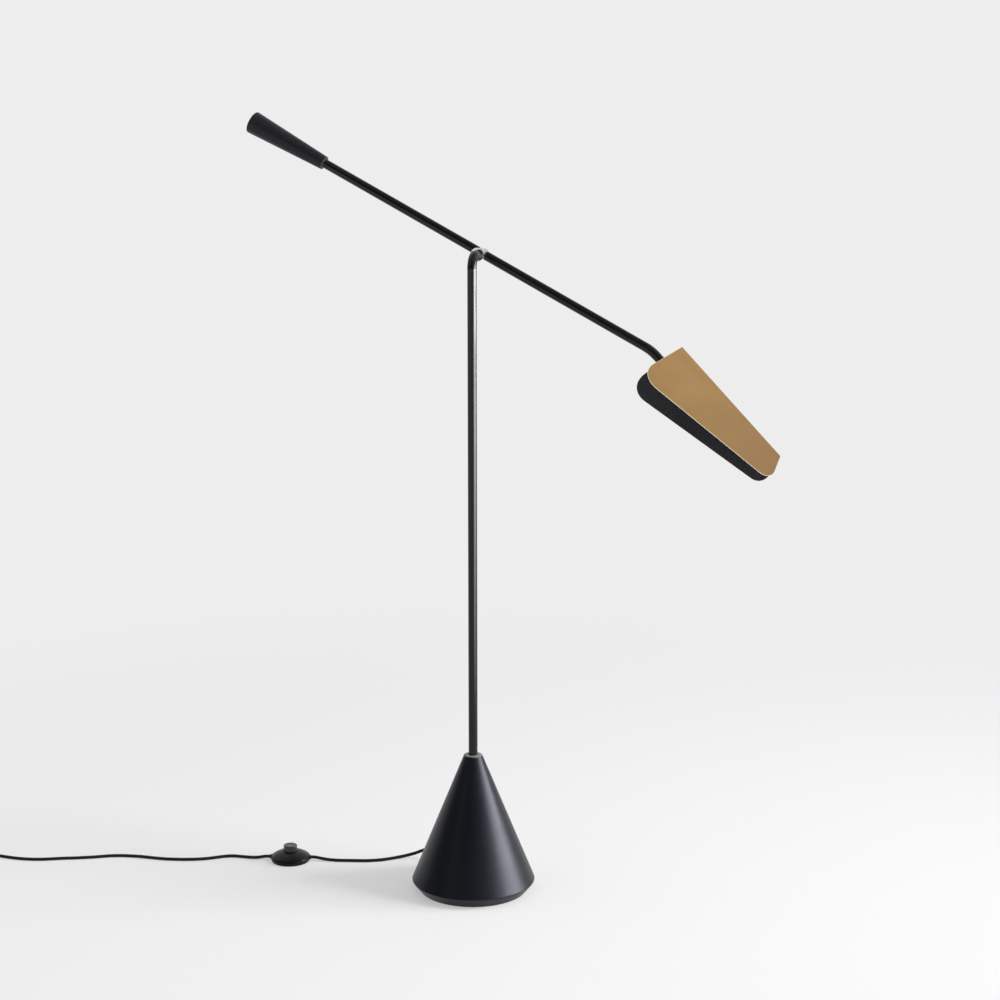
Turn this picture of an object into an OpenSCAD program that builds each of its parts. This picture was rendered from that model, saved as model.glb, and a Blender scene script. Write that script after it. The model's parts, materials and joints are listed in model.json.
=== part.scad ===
// Counterbalanced floor lamp with a weighted cone base, a thin post that bends over into a pivot,
// a tilting arm with a tapered counterweight, a folded sheet shade that turns on the arm's end,
// and a round foot switch on the lead.
// Millimetres, +Z up. The origin is the middle of the foot on the floor; the shade is towards +X
// and the post's bent top points along +Y.

/* [Cone base] */
// Radius of the cone at its widest rim
rim_r = 110; // [95:1:130]
// Height of the widest rim above the floor
rim_z = 19; // [16:0.5:23]
// How far the foot is drawn in under the rim
foot_inset = 14; // [8:0.5:17]
// Height of the foot's edge above the floor
foot_z = 1.5; // [1:0.1:1.8]
// Height of the cone's flat top
cone_h = 250; // [220:1:290]
// Radius of the cone's flat top
cone_top_r = 16; // [14:0.5:22]
// Wall of the spun cone
cone_wall = 2.5; // [1.5:0.1:3.2]
// Rounding of the rim and of the top edge
cone_edge_r = 2.5; // [0.5:0.1:3.5]

/* [Inside the base] */
// Depth of the post's socket in the poured ballast
socket_depth = 38; // [25:1:50]
// Ballast left between the post's seat and the hollow under it
seat_web = 16; // [10:1:24]
// Radius of the hollow under the ballast
hollow_r = 24; // [19:0.5:34]
// Thickness of the bottom plate
plate_t = 2; // [1.5:0.1:3]
// Thickness of the felt under the plate
felt_t = 2; // [1.9:0.1:3]
// Distance of the felt's edge inside the plate's edge
felt_inset = 2; // [1:0.5:6]
// Distance of the plate's screws from the middle
plate_screw_at = 78; // [60:1:84]
// Diameter of the plate's screws
plate_screw_d = 4; // [3:0.5:5]
// Length of the plate's screws
plate_screw_len = 13; // [10:1:14]
// Diameter of the hollow threaded nipple under the post
nipple_d = 10; // [8.5:0.5:11]
// Length of nipple that stands out below its nut
nipple_tail = 3; // [2:0.5:5]
// Length of the nipple's plug inside the post
plug_len = 15; // [10:1:20]
// Width of the nuts across their flats
nut_af = 17; // [15:0.5:20]
// Thickness of the nut under the ballast
nut_t = 6; // [5:0.5:8]
// Diameter of the washer under the ballast
base_washer_d = 28; // [22:1:34]
// Thickness of the washer under the ballast
base_washer_t = 2; // [1.5:0.1:3]

/* [Post and pivot] */
// Diameter of the post and arm tubes
tube_d = 16; // [15:0.5:18]
// Wall of the post and arm tubes
tube_wall = 1.5; // [1.2:0.1:1.8]
// Height of the pivot's axis above the floor
pivot_z = 1131; // [900:1:1250]
// Middle radius of the bend at the top of the post
post_bend_r = 22; // [20:1:32]
// Straight run of the post after its bend
stub_straight = 11; // [10.5:0.5:20]
// Length of the threaded bush in the end of the post
bush_len = 9.5; // [8:0.5:10]
// Diameter of the hollow pivot stud
pivot_d = 8; // [7:0.5:9]
// Diameter of the way for wires inside the stud
stud_bore = 5; // [4:0.25:5.5]
// Diameter of the friction washers at the pivot
pivot_washer_d = 23; // [20:0.5:26]
// Thickness of the friction washers
friction_t = 1.5; // [1:0.1:2.5]
// Thickness of the spring washers
spring_t = 1.2; // [0.8:0.1:2]
// Length of the bright hub between the two arm tubes
hub_len = 15; // [12:0.5:20]
// Length of the hub's spigots inside the tubes
spigot_len = 12; // [8:0.5:16]
// Diameter of the hub's cross boss
boss_d = 15; // [13:0.5:15.5]
// Distance from the arm's axis to the front of the boss
boss_front = 29; // [22:0.5:34]
// Distance from the arm's axis to the back of the boss
boss_back = 10; // [9:0.5:14]
// Diameter of the cap nut behind the pivot
cap_d = 15; // [13:0.5:18]
// Length of the cap nut
cap_len = 10; // [8:0.5:14]
// Length of stud inside the cap nut
cap_grip = 6; // [4:0.5:7]

/* [Arm] */
// Slope of the arm below level
arm_tilt = 28; // [10:1:45]
// Distance from the pivot to the counterweight
arm_back = 322; // [250:1:400]
// Distance from the pivot to the corner of the arm's bend
arm_front = 339; // [280:1:420]
// Angle of the bend near the shade
bend_a = 18.5; // [10:0.5:30]
// Middle radius of the bend near the shade
bend_r = 80; // [50:1:110]
// Length of the arm's end from the bend's corner
end_len = 46; // [40:0.5:60]
// Length of the counterweight
weight_len = 152; // [120:1:180]
// Diameter of the counterweight's large end
weight_d1 = 40; // [34:0.5:48]
// Diameter of the counterweight's small end
weight_d2 = 24; // [22.5:0.5:28]
// Rounding of the counterweight's large end
weight_edge_r = 3.5; // [1:0.1:5]
// Depth of the arm's socket in the counterweight
weight_socket = 45; // [35:1:60]
// Distance of the clamp screw from the counterweight's small end
clamp_at = 16; // [10:0.5:24]
// Diameter of the clamp screw
clamp_d = 5; // [4:0.5:6]

/* [Shade] */
// Length of the shade's fold
fold_len = 249; // [200:1:300]
// Half of the angle between the two leaves
fold_half_a = 25.5; // [24:0.5:32]
// Width of each leaf at the arm's end
leaf_wide = 118; // [95:1:140]
// Width of each leaf at the far end
leaf_narrow = 56.5; // [50:0.5:80]
// Overhang of the leaves past the fold at the arm's end
over_wide = 14; // [5:0.5:20]
// Overhang of the leaves past the fold at the far end
over_narrow = 20.5; // [5:0.5:30]
// Corner radius at the arm's end
wide_corner_r = 28; // [15:1:38]
// Corner radius at the far end
narrow_corner_r = 21; // [8:0.5:22]
// Thickness of the sheet
sheet_t = 1.5; // [1:0.1:1.8]
// Outer radius of the fold
fold_r = 2.5; // [2.2:0.1:4]
// Height of the fold above the arm's end axis
fold_up = 44.5; // [42:0.5:55]
// How far the arm's end reaches past the start of the fold
tube_in_shade = 16; // [10:0.5:24]
// Turn of the shade about the arm's end
shade_roll = 31; // [0:1:60]
// Thickness of the bracket inside the shade
bracket_t = 2; // [1.5:0.1:2.5]
// Height of the bracket above the arm's end axis
bracket_up = 20; // [14:0.5:24]
// Drop of the bracket below the arm's end axis
bracket_down = 20; // [14:0.5:26]
// Length of the bracket's side flanges
flange_len = 14; // [8:0.5:20]

/* [Lamp holder and lamp] */
// Diameter of the lamp holder
holder_d = 27; // [26:0.5:30]
// Length of the lamp holder's body
holder_len = 34; // [30:0.5:40]
// Diameter of the lamp holder's neck
neck_d = 18; // [16:0.5:22]
// Length of the lamp holder's neck
neck_len = 10; // [8:0.5:14]
// Wall of the lamp holder
holder_wall = 3; // [2:0.1:3.5]
// Diameter of the screw shell
shell_d = 16.4; // [15.5:0.1:17.4]
// Wall of the screw shell
shell_wall = 0.9; // [0.6:0.1:1.1]
// Length of the screw shell
shell_len = 20; // [16:0.5:24]
// Diameter of the lamp's glass tube
glass_d = 25; // [20:0.5:28]
// Length of the lamp's glass
glass_len = 72; // [50:1:90]

/* [Foot switch] */
// Place of the foot switch along X
switch_x = -366.5; // [-420:0.5:-300]
// Place of the foot switch along Y
switch_y = 44; // [0:1:80]
// Turn of the foot switch on the floor
switch_yaw = 12; // [0:1:30]
// Radius of the foot switch
switch_r = 36.5; // [32:0.5:42]
// Height of the lower shell's wall
shell_h = 6; // [5:0.25:8]
// Inset of the lower shell's foot from its rim
shell_taper = 1.6; // [0.5:0.1:2.5]
// Rounding of the dome's shoulder
shoulder_r = 5; // [4:0.25:7]
// Height of the dome's crown
dome_h = 21; // [20.5:0.5:23]
// Wall of the switch's shells
switch_wall = 2.2; // [1.6:0.1:2.8]
// Diameter of the push button
button_d = 25; // [22:0.5:28]
// Height of the push button's top
button_h = 30; // [28.5:0.5:34]
// Travel of the push button
button_travel = 3; // [2:0.25:3.5]
// Rounding of the push button's top edge
button_edge_r = 1.8; // [0.5:0.1:3]
// Height of the switch mechanism above the shell's floor
block_h = 7; // [6:0.25:8]
// Width of the switch mechanism
block_w = 20; // [16:0.5:24]
// Middle radius of the return spring
spring_r = 5; // [4:0.25:6]
// Wire of the return spring
spring_wire = 1; // [0.7:0.1:1.2]
// Turns of the return spring
spring_turns = 3.5; // [3:0.5:4]
// Distance of the switch's screws from its middle
switch_screw_at = 21; // [18:0.5:23]
// Diameter of the switch's screws
switch_screw_d = 3; // [2.5:0.25:3.5]
// Height of the lead's way into the switch
entry_z = 6.5; // [6.25:0.25:8]
// Diameter of the rubber bushings at the switch
bushing_d = 8.5; // [8:0.25:10]
// Length of bushing that stands out of the switch
bushing_out = 2; // [1.5:0.5:8]

/* [Lead and plug] */
// Diameter of the lead
cord_d = 6; // [5:0.25:6.2]
// Direction in which the lead leaves the base
gland_a = 135; // [100:1:150]
// Height at which the lead leaves the base
gland_z = 26; // [23:0.5:31]
// Diameter of the strain relief where it leaves the cone
gland_d = 11; // [9.5:0.5:13]
// Diameter of the strain relief at its tip
gland_tip_d = 8; // [7:0.25:9]
// Length of the strain relief inside the rim
gland_in = 16; // [12:0.5:24]
// Length of the strain relief outside the rim
gland_out = 28; // [20:0.5:40]
// Radius in which the lead turns up into the post
lead_bend_r = 12; // [10:0.5:18]
// Radius of the coil's outer turn
coil_r = 44; // [40:1:52]
// Turns of the coil's lower layer
coil_turns_in = 2.75; // [1.75:1:3.75]
// Turns of the coil's upper layer
coil_turns_out = 2.5; // [1.5:1:3.5]
// Step from turn to turn
coil_step = 7; // [6.8:0.1:8]
// Step from layer to layer
coil_rise = 6.8; // [6.6:0.1:7.5]
// Thickness of the strap round the coil
tie_t = 0.8; // [0.5:0.1:1.2]
// Width of the strap round the coil
tie_w = 9; // [6:0.5:12]
// Length of the plug's body
plug_body_len = 30; // [24:0.5:40]
// Width of the plug's body
plug_w = 25; // [22:0.5:30]
// Thickness of the plug's body
plug_h = 17; // [15:0.5:20]
// Length of lead from the coil to the plug
coil_tail = 44; // [42:1:60]
// Length of the plug's tail
plug_tail = 20; // [20:0.5:30]
// Length of the plug's blades
blade_len = 16; // [14:0.5:18]
// Width of the plug's blades
blade_w = 6.3; // [5.5:0.1:7]
// Thickness of the plug's blades
blade_t = 1.5; // [1.2:0.1:2]
// Distance between the plug's blades
blade_gap = 12.7; // [11:0.1:14]

/* [Clearances] */
// Clearance of pieces that are fixed in one another
fit = 0.05; // [0.02:0.01:0.1]
// Radial clearance of pieces that turn on one another
run_fit = 0.06; // [0.02:0.01:0.1]
// Clearance between faces that turn on one another
run_gap = 0.1; // [0.05:0.05:0.3]
// Clearance of the ballast in the cone
bond_gap = 0.2; // [0.1:0.05:0.4]
// Clearance round the push button
slide_gap = 0.3; // [0.2:0.05:0.4]

/* [Hidden] */
$fn = 64;

// Plain geometry helpers
function unit(v) = v / norm(v);
function half_angle(a, p, b) = acos(unit(a - p) * unit(b - p)) / 2;
function arc_points(a, p, b, r, k) = let (
    h = half_angle(a, p, b),
    c = p + unit(unit(a - p) + unit(b - p)) * r / sin(h),
    s = p + unit(a - p) * r / tan(h) - c,
    a0 = atan2(s[1], s[0]),
    turn = cross(p - a, b - p) > 0 ? 180 - 2 * h : 2 * h - 180)
    [for (i = [0:k]) c + r * [cos(a0 + turn * i / k), sin(a0 + turn * i / k)]];
// Polygon points with each corner rounded by its own radius
function rounded(pts, radii, k = 8) = let (n = len(pts))
    [for (i = [0:n - 1]) each radii[i] > 0
        ? arc_points(pts[(i + n - 1) % n], pts[i], pts[(i + 1) % n], radii[i], k) : [pts[i]]];

// Sizes that follow from the ones above
tube_r = tube_d / 2;
tube_in_r = tube_r - tube_wall;
post_hole_r = tube_r + fit;
cord_r = cord_d / 2;
flank_a = atan((rim_r - cone_top_r) / (cone_h - rim_z));
foot_a = atan(foot_inset / (rim_z - foot_z));
flank_wall = cone_wall / cos(flank_a);
foot_wall = cone_wall / cos(foot_a);
function flank_in(z) = rim_r - (z - rim_z) * tan(flank_a) - flank_wall;
function foot_in(z) = rim_r - (rim_z - z) * tan(foot_a) - foot_wall;
plate_r = foot_in(foot_z) - slide_gap;
ballast_bottom = felt_t + plate_t;
nipple_bottom = gland_z + lead_bend_r + 1;
hollow_z = nipple_bottom + nipple_tail + nut_t + base_washer_t;
post_seat_z = hollow_z + seat_web;
ballast_top = post_seat_z + socket_depth;
nipple_bore_r = cord_r + slide_gap;
gland_seat = rim_r - gland_in;
gland_tip = rim_r + gland_out;

stub_end = post_bend_r + stub_straight;
bush_start = stub_end - bush_len;
washer_end = stub_end + friction_t;
reach = washer_end + run_gap + boss_front;
spring_start = reach + boss_back + run_gap;
cap_start = spring_start + spring_t;
plug_r = tube_in_r - fit;

bend_swell = 0.1;
bend_lap = 0.5;
bend_cut = bend_r * tan(bend_a / 2);
shade_x = end_len - tube_in_shade;
shade_washer_end = end_len + friction_t;
web_x = shade_washer_end + run_gap;
shade_spring_x = web_x + bracket_t + run_gap;
holder_x = shade_spring_x + spring_t;
body_x = holder_x + neck_len + 2;
cavity_x = body_x + holder_wall;
mouth_x = body_x + holder_len;
shell_x = cavity_x + 1.5;
shell_end = shell_x + shell_len;
cap_lamp_r = shell_d / 2 - shell_wall - 0.1;
glass_x = shell_end + 1;

fold_top = fold_up + fold_r / sin(fold_half_a) - fold_r;
fold_inner = fold_top - sheet_t / sin(fold_half_a);
function leaf_gap(z) = (fold_inner - z) * tan(fold_half_a) - fit / cos(fold_half_a);

floor_t = switch_wall + 0.3;
// The crown's arc meets the shoulder's arc without a corner
shoulder_at = switch_r - shoulder_r;
shoulder_drop = dome_h - shoulder_r - shell_h;
dome_z = (pow(dome_h - shoulder_r, 2) - pow(shoulder_at, 2) - pow(shell_h, 2)) / (2 * shoulder_drop);
dome_r = dome_h - dome_z;
dome_a = atan2(shell_h - dome_z, shoulder_at);
function dome_arc(g) = concat(
    [for (i = [0:9]) let (a = dome_a * i / 10)
        [shoulder_at, shell_h] + (shoulder_r - g) * [cos(a), sin(a)]],
    [for (i = [0:15]) let (a = dome_a + (90 - dome_a) * i / 15)
        [i < 15 ? (dome_r - g) * cos(a) : 0, dome_z + (dome_r - g) * sin(a)]]);
function back(p) = [for (i = [len(p) - 1:-1:0]) p[i]];
flange_r = button_d / 2 + 1.6;
flange_top = dome_z + sqrt(pow(dome_r - switch_wall, 2) - flange_r * flange_r) - slide_gap;
flange_t = 1.5;
block_top = floor_t + block_h;
spring_pocket = flange_top - flange_t + 3;
bushing_end = switch_r + bushing_out;

// The lead's way from the strain relief to the switch: along X, along Y, lift above the floor
route_switch = [[-117, 113, 19], [-131, 117, 12.5], [-145, 115, 6.5], [-159, 109, 3], [-172, 102, 1],
    [-184, 94, 0], [-198, 83, 0], [-213, 75, 0], [-229, 69, 0], [-246, 65, 0], [-263, 61, 0],
    [-278, 58, 0], [-291, 56.5, 0.2], [-304, 55.5, 1.1]];
// The lead's way from the switch to its coil
route_coil = [[-427, 31, 1.2], [-441, 30, 0.3], [-457, 30, 0], [-474, 29, 0], [-489, 23, 0], [-503, 13, 0],
    [-518, 3, 0], [-535, -5, 0], [-553, -11, 0], [-571, -15, 0], [-589, -18, 0], [-607, -19, 0],
    [-625, -19, 0], [-643, -19, 0], [-661, -21, 0], [-678, -24, 0], [-694, -29, 0], [-709, -36, 0],
    [-724, -44, 0], [-740, -51, 0], [-757, -58, 0], [-774, -64, 0], [-791, -71, 0], [-807, -78, 0],
    [-824, -83, 0], [-842, -86, 0], [-860, -87, 0], [-878, -86, 0], [-896, -84, 0], [-914, -83, 0.3]];
// Middle of the coil on the floor
coil_x = -950;
coil_y = -127;
coil_rings = 24;
coil_z = tie_t + cord_r;
coil_angle = 90;
tie_angle = 150;

gland_dir = [cos(gland_a), sin(gland_a), 0];
switch_dir = [cos(switch_yaw), sin(switch_yaw), 0];
switch_entry = [switch_x, switch_y, entry_z];
function lifted(p) = [for (q = p) [q[0], q[1], q[2] + cord_r]];
path_switch = concat(
    [gland_dir * gland_tip + [0, 0, gland_z], gland_dir * (gland_tip + 8) + [0, 0, gland_z]],
    lifted(route_switch),
    [switch_entry + switch_dir * (bushing_end + 8), switch_entry + switch_dir * bushing_end]);
coil_start = [coil_x + cord_d, coil_y + coil_r, coil_z];
path_coil = concat(
    [switch_entry - switch_dir * bushing_end, switch_entry - switch_dir * (bushing_end + 8)],
    lifted(route_coil),
    [coil_start + [14, 0, 0], coil_start]);

// One layer of the coil spirals in, the next one spirals out above it
coil_turns = coil_turns_in + coil_turns_out;
function ease(x) = let (c = min(max(x, 0), 1)) c * c * (3 - 2 * c);
function turn_r(t) = coil_r - coil_step * coil_turns_in + coil_step * abs(t - coil_turns_in);
function turn_z(t) = coil_z + coil_rise * ease((t - coil_turns_in + 0.25) * 2);
function turn_at(t) = let (a = coil_angle + 360 * t)
    [coil_x + turn_r(t) * cos(a), coil_y + turn_r(t) * sin(a), turn_z(t)];
coil_wound = [for (i = [0:coil_rings * coil_turns]) turn_at(i / coil_rings)];
coil_exit = coil_wound[len(coil_wound) - 1];
plug_at = [coil_exit[0], coil_exit[1] - coil_tail, plug_h / 2];
path_wound = concat([coil_start], coil_wound,
    [[plug_at[0], coil_exit[1] - 14, coil_exit[2] - 0.4], [plug_at[0], coil_exit[1] - 26, plug_at[2] + 0.8],
    plug_at + [0, 7, 0], plug_at]);
coil_gap = min([for (i = [0:len(coil_wound) - 1]) for (j = [i + coil_rings / 2:1:len(coil_wound) - 1])
    norm(coil_wound[i] - coil_wound[j])]) - cord_d;
echo(str("Least gap between turns of the coil: ", coil_gap, " mm"));

spring_len = spring_pocket - block_top - spring_wire;
function spring_at(t) = [spring_r * cos(360 * t), spring_r * sin(360 * t),
    block_top + spring_wire / 2 + spring_len * t / spring_turns];
spring_path = [for (i = [0:12 * spring_turns]) spring_at(i / 12)];

// A tube of n sides swept along the points of p, each ring square to the way
function heading(p, i) = unit(p[min(i + 1, len(p) - 1)] - p[max(i - 1, 0)]);
function ring(c, t, r, n) = let (s = unit(cross([0, 0, 1], t)), u = cross(t, s))
    [for (k = [0:n - 1]) c + r * (cos(360 * k / n) * s + sin(360 * k / n) * u)];
module sweep(p, r, n) {
    m = len(p);
    sides = [for (i = [0:m - 2]) for (k = [0:n - 1]) let (a = i * n + k, b = i * n + (k + 1) % n)
        each [[a, a + n, b + n], [a, b + n, b]]];
    ends = [for (k = [1:n - 2]) each [[0, k, k + 1], [(m - 1) * n, (m - 1) * n + k + 1, (m - 1) * n + k]]];
    polyhedron(points = [for (i = [0:m - 1]) each ring(p[i], heading(p, i), r, n)],
        faces = concat(sides, ends), convexity = 10);
}

// A profile of radius and height turned about X, and a flat profile drawn out along X
module turned_x(pts) rotate([0, 90, 0]) rotate_extrude() polygon(pts);
module rod_x(r, x0, x1) translate([x0, 0, 0]) rotate([0, 90, 0]) cylinder(r = r, h = x1 - x0);
module rod_y(r, y0, y1) translate([0, y0, 0]) rotate([-90, 0, 0]) cylinder(r = r, h = y1 - y0);
module along_x(x0, x1) translate([x0, 0, 0]) rotate([90, 0, 90]) linear_extrude(x1 - x0) children();
module pipe_ring(r, y0, y1, bore) difference() {
    rod_y(r, y0, y1);
    rod_y(bore, y0 - 1, y1 + 1);
}

// Frames that carry the pieces: the pivot, the arm, the arm's end, the shade and the switch
module at_pivot() translate([0, 0, pivot_z]) children();
module at_arm() translate([0, reach, pivot_z]) rotate([0, arm_tilt, 0]) children();
module at_arm_end() at_arm() translate([arm_front, 0, 0]) rotate([0, bend_a, 0]) children();
module at_shade() at_arm_end() rotate([-shade_roll, 0, 0]) children();
module at_switch() translate([switch_x, switch_y, 0]) rotate([0, 0, switch_yaw]) children();
module at_gland() rotate([0, 0, gland_a]) translate([0, 0, gland_z]) children();
module at_plate_screws() for (a = [75, 195, 315]) rotate([0, 0, a])
    translate([plate_screw_at, 0, 0]) children();

// A bend of radius q and angle a in a round bar of radius r, swelling a little as bent tube does
module bent(r, q, a) rotate_extrude(angle = a) translate([q, 0]) circle(r + bend_swell);

// Core of the post: up from z0, round the bend and out to y1
module post_core(r, z0, y1) {
    translate([0, 0, z0]) cylinder(r = r, h = pivot_z - post_bend_r - z0 + bend_lap);
    translate([0, post_bend_r, pivot_z - post_bend_r]) rotate([90, 0, 90]) rotate([0, 0, 90])
        bent(r, post_bend_r, 90);
    at_pivot() rod_y(r, post_bend_r - bend_lap, y1);
}

// Core of the front arm tube: along the arm from x0, round its bend and on to x1
module arm_core(r, x0, x1) {
    rod_x(r, x0, arm_front - bend_cut + bend_lap);
    translate([arm_front - bend_cut, 0, -bend_r]) rotate([90, 0, 0]) rotate([0, 0, 90 - bend_a])
        bent(r, bend_r, bend_a);
    translate([arm_front, 0, 0]) rotate([0, bend_a, 0]) rod_x(r, bend_cut - bend_lap, x1);
}

module base_cone() color("#24262b") difference() {
    rotate_extrude() polygon(rounded(
        [[foot_in(foot_z), foot_z], [rim_r - foot_inset, foot_z], [rim_r, rim_z], [cone_top_r, cone_h],
            [post_hole_r, cone_h], [post_hole_r, cone_h - cone_wall],
            [flank_in(cone_h - cone_wall), cone_h - cone_wall], [rim_r - flank_wall, rim_z]],
        [0, 0, cone_edge_r, cone_edge_r, 0, 0, 0, 0]));
    at_gland() rod_x(gland_d / 2 + fit, gland_seat, rim_r + 1);
}

module ballast() color("#8d8a84") difference() {
    rotate_extrude() polygon([[hollow_r, ballast_bottom],
        [foot_in(ballast_bottom) - bond_gap, ballast_bottom], [rim_r - flank_wall - bond_gap, rim_z],
        [flank_in(ballast_top) - bond_gap, ballast_top],
        [post_hole_r, ballast_top], [post_hole_r, post_seat_z], [nipple_d / 2 + slide_gap, post_seat_z],
        [nipple_d / 2 + slide_gap, hollow_z], [hollow_r, hollow_z]]);
    at_gland() {
        rod_x(gland_d / 2 + fit, gland_seat, rim_r);
        rod_x(cord_r + slide_gap, hollow_r - 2, gland_seat + 1);
    }
    at_plate_screws() cylinder(d = plate_screw_d + 2 * fit, h = felt_t + plate_screw_len + 1);
}

// Countersunk head and shank of one plate screw, grown by g
module plate_screw(g) translate([0, 0, felt_t]) rotate_extrude() polygon([[0, 0], [plate_screw_d + g, 0],
    [plate_screw_d / 2 + g, plate_screw_d / 2], [plate_screw_d / 2 + g, plate_screw_len],
    [0, plate_screw_len]]);

module base_plate() color("#3a3b3e") difference() {
    translate([0, 0, felt_t]) cylinder(r = plate_r, h = plate_t);
    at_plate_screws() plate_screw(fit);
}

module plate_screws() color("#b9bbbe") at_plate_screws() plate_screw(0);

module felt_pad() color("#2b2a2c") cylinder(r = plate_r - felt_inset, h = felt_t);

module post_tube() color("#1f1e1d") difference() {
    post_core(tube_r, post_seat_z, stub_end);
    post_core(tube_in_r, post_seat_z - 1, stub_end + 1);
}

module post_nipple() color("#c9a35c") difference() {
    union() {
        translate([0, 0, nipple_bottom]) cylinder(d = nipple_d, h = post_seat_z + plug_len - nipple_bottom);
        translate([0, 0, post_seat_z]) cylinder(r = plug_r, h = plug_len);
    }
    translate([0, 0, nipple_bottom - 1]) cylinder(r = nipple_bore_r, h = post_seat_z + plug_len);
}

module base_washer() color("#b9bbbe") translate([0, 0, hollow_z - base_washer_t]) difference() {
    cylinder(d = base_washer_d, h = base_washer_t);
    translate([0, 0, -1]) cylinder(r = nipple_d / 2 + fit, h = base_washer_t + 2);
}

module base_nut() color("#c9a35c") translate([0, 0, hollow_z - base_washer_t - nut_t]) difference() {
    cylinder(d = nut_af / cos(30), h = nut_t, $fn = 6);
    translate([0, 0, -1]) cylinder(r = nipple_d / 2 + fit, h = nut_t + 2);
}

// The lead inside the base and post, from the strain relief to the pivot
module base_lead() color("#151515") {
    at_gland() {
        rod_x(cord_r, lead_bend_r - bend_lap, gland_tip);
        translate([lead_bend_r, 0, lead_bend_r]) rotate([90, 0, 0]) rotate([0, 0, 180])
            bent(cord_r, lead_bend_r, 90);
    }
    post_core(cord_r, gland_z + lead_bend_r - bend_lap, bush_start);
}

module cord_gland() color("#101011") at_gland() difference() {
    turned_x([[0, gland_seat], [gland_d / 2, gland_seat], [gland_d / 2, rim_r + 2],
        [gland_tip_d / 2, gland_tip], [0, gland_tip]]);
    rod_x(cord_r + fit, gland_seat - 1, gland_tip + 1);
}

module pivot_bush() color("#b9bbbe") at_pivot() pipe_ring(plug_r, bush_start, stub_end, pivot_d / 2 + fit);

module pivot_stud() color("#b9bbbe") at_pivot() difference() {
    rod_y(pivot_d / 2, bush_start, cap_start + cap_grip);
    rod_y(stud_bore / 2, bush_start - 1, reach + stud_bore / 2 + 1);
    translate([0, reach, 0]) rotate([0, arm_tilt, 0]) rod_x(stud_bore / 2 - 0.5, 0, pivot_d);
}

module pivot_washer() color("#d3d4d6") at_pivot()
    pipe_ring(pivot_washer_d / 2, stub_end, washer_end, pivot_d / 2 + fit);

// Dished spring washer of outer radius r on a pin of radius p, standing along +Z from 0
module dished(r, p) rotate_extrude() polygon([[p + fit, 0], [p + fit + 1.4, 0], [r, spring_t / 2],
    [r, spring_t], [r - 1.4, spring_t], [p + fit, spring_t / 2]]);

module pivot_spring_washer() color("#9da0a4") at_pivot() translate([0, spring_start, 0]) rotate([-90, 0, 0])
    dished(cap_d / 2, pivot_d / 2);

module pivot_cap() color("#d3d4d6") at_pivot() translate([0, cap_start, 0]) rotate([-90, 0, 0])
    difference() {
    rotate_extrude() polygon(rounded([[0, 0], [cap_d / 2, 0], [cap_d / 2, cap_len], [0, cap_len]],
        [0, 0, cap_len * 0.45, 0]));
    translate([0, 0, -1]) cylinder(r = pivot_d / 2 + fit, h = cap_grip + 1.2);
}

// Bright tee between the two arm tubes, turning on the pivot stud
module arm_hub() color("#d3d4d6") at_arm() difference() {
    union() {
        rod_x(tube_r, -hub_len / 2, hub_len / 2);
        rod_x(plug_r, -hub_len / 2 - spigot_len, hub_len / 2 + spigot_len);
        rod_y(boss_d / 2, -boss_front, boss_back);
    }
    rod_y(pivot_d / 2 + run_fit, -boss_front - 1, boss_back + 1);
    rod_x(nipple_bore_r, 0, hub_len / 2 + spigot_len + 1);
}

module arm_tube_back() color("#1f1e1d") at_arm() difference() {
    rod_x(tube_r, -arm_back - weight_socket, -hub_len / 2);
    rod_x(tube_in_r, -arm_back - weight_socket - 1, -hub_len / 2 + 1);
}

module arm_tube_front() color("#1f1e1d") at_arm() difference() {
    arm_core(tube_r, hub_len / 2, end_len);
    arm_core(tube_in_r, hub_len / 2 - 1, end_len + 1);
}

module arm_lead() color("#151515") at_arm() arm_core(cord_r, hub_len / 2, holder_x + neck_len);

module counterweight() color("#222327") at_arm() difference() {
    turned_x(rounded([[0, -arm_back - weight_len], [0, -arm_back], [weight_d2 / 2, -arm_back],
        [weight_d1 / 2, -arm_back - weight_len]], [0, 0, 1.2, weight_edge_r]));
    rod_x(tube_r + fit, -arm_back - weight_socket - fit, -arm_back + 1);
    translate([-arm_back - clamp_at, 0, -weight_d1 / 2]) cylinder(d = clamp_d + 2 * fit, h = weight_d1 / 2);
}

module clamp_screw() color("#8c8f94") at_arm() difference() {
    translate([-arm_back - clamp_at, 0, -weight_d2 / 2])
        cylinder(d = clamp_d, h = weight_d2 / 2 - tube_r - fit);
    translate([-arm_back - clamp_at, 0, -weight_d2 / 2 - 1]) cylinder(d = clamp_d / 2, h = 2.5, $fn = 6);
}

module shade_bush() color("#c9a35c") at_arm_end() difference() {
    rod_x(plug_r, end_len - bush_len, end_len);
    rod_x(nipple_d / 2 + fit, end_len - bush_len - 1, end_len + 1);
}

module shade_nipple() color("#c9a35c") at_arm_end() difference() {
    rod_x(nipple_d / 2, end_len - bush_len, holder_x + neck_len);
    rod_x(nipple_bore_r, end_len - bush_len - 1, holder_x + neck_len + 1);
}

module shade_washer() color("#3b2f28") at_arm_end() difference() {
    rod_x(neck_d / 2, end_len, shade_washer_end);
    rod_x(nipple_d / 2 + fit, end_len - 1, shade_washer_end + 1);
}

module shade_spring_washer() color("#9da0a4") at_arm_end() translate([shade_spring_x, 0, 0])
    rotate([0, 90, 0]) dished(neck_d / 2, nipple_d / 2);

module lamp_holder() color("#17181a") at_arm_end() difference() {
    turned_x([[0, holder_x], [neck_d / 2, holder_x], [neck_d / 2, holder_x + neck_len],
        [holder_d / 2 - 1, body_x], [holder_d / 2, body_x + 1], [holder_d / 2, mouth_x], [0, mouth_x]]);
    rod_x(nipple_d / 2 + fit, holder_x - 1, holder_x + neck_len + fit);
    rod_x(holder_d / 2 - holder_wall, cavity_x, mouth_x + 1);
}

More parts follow.
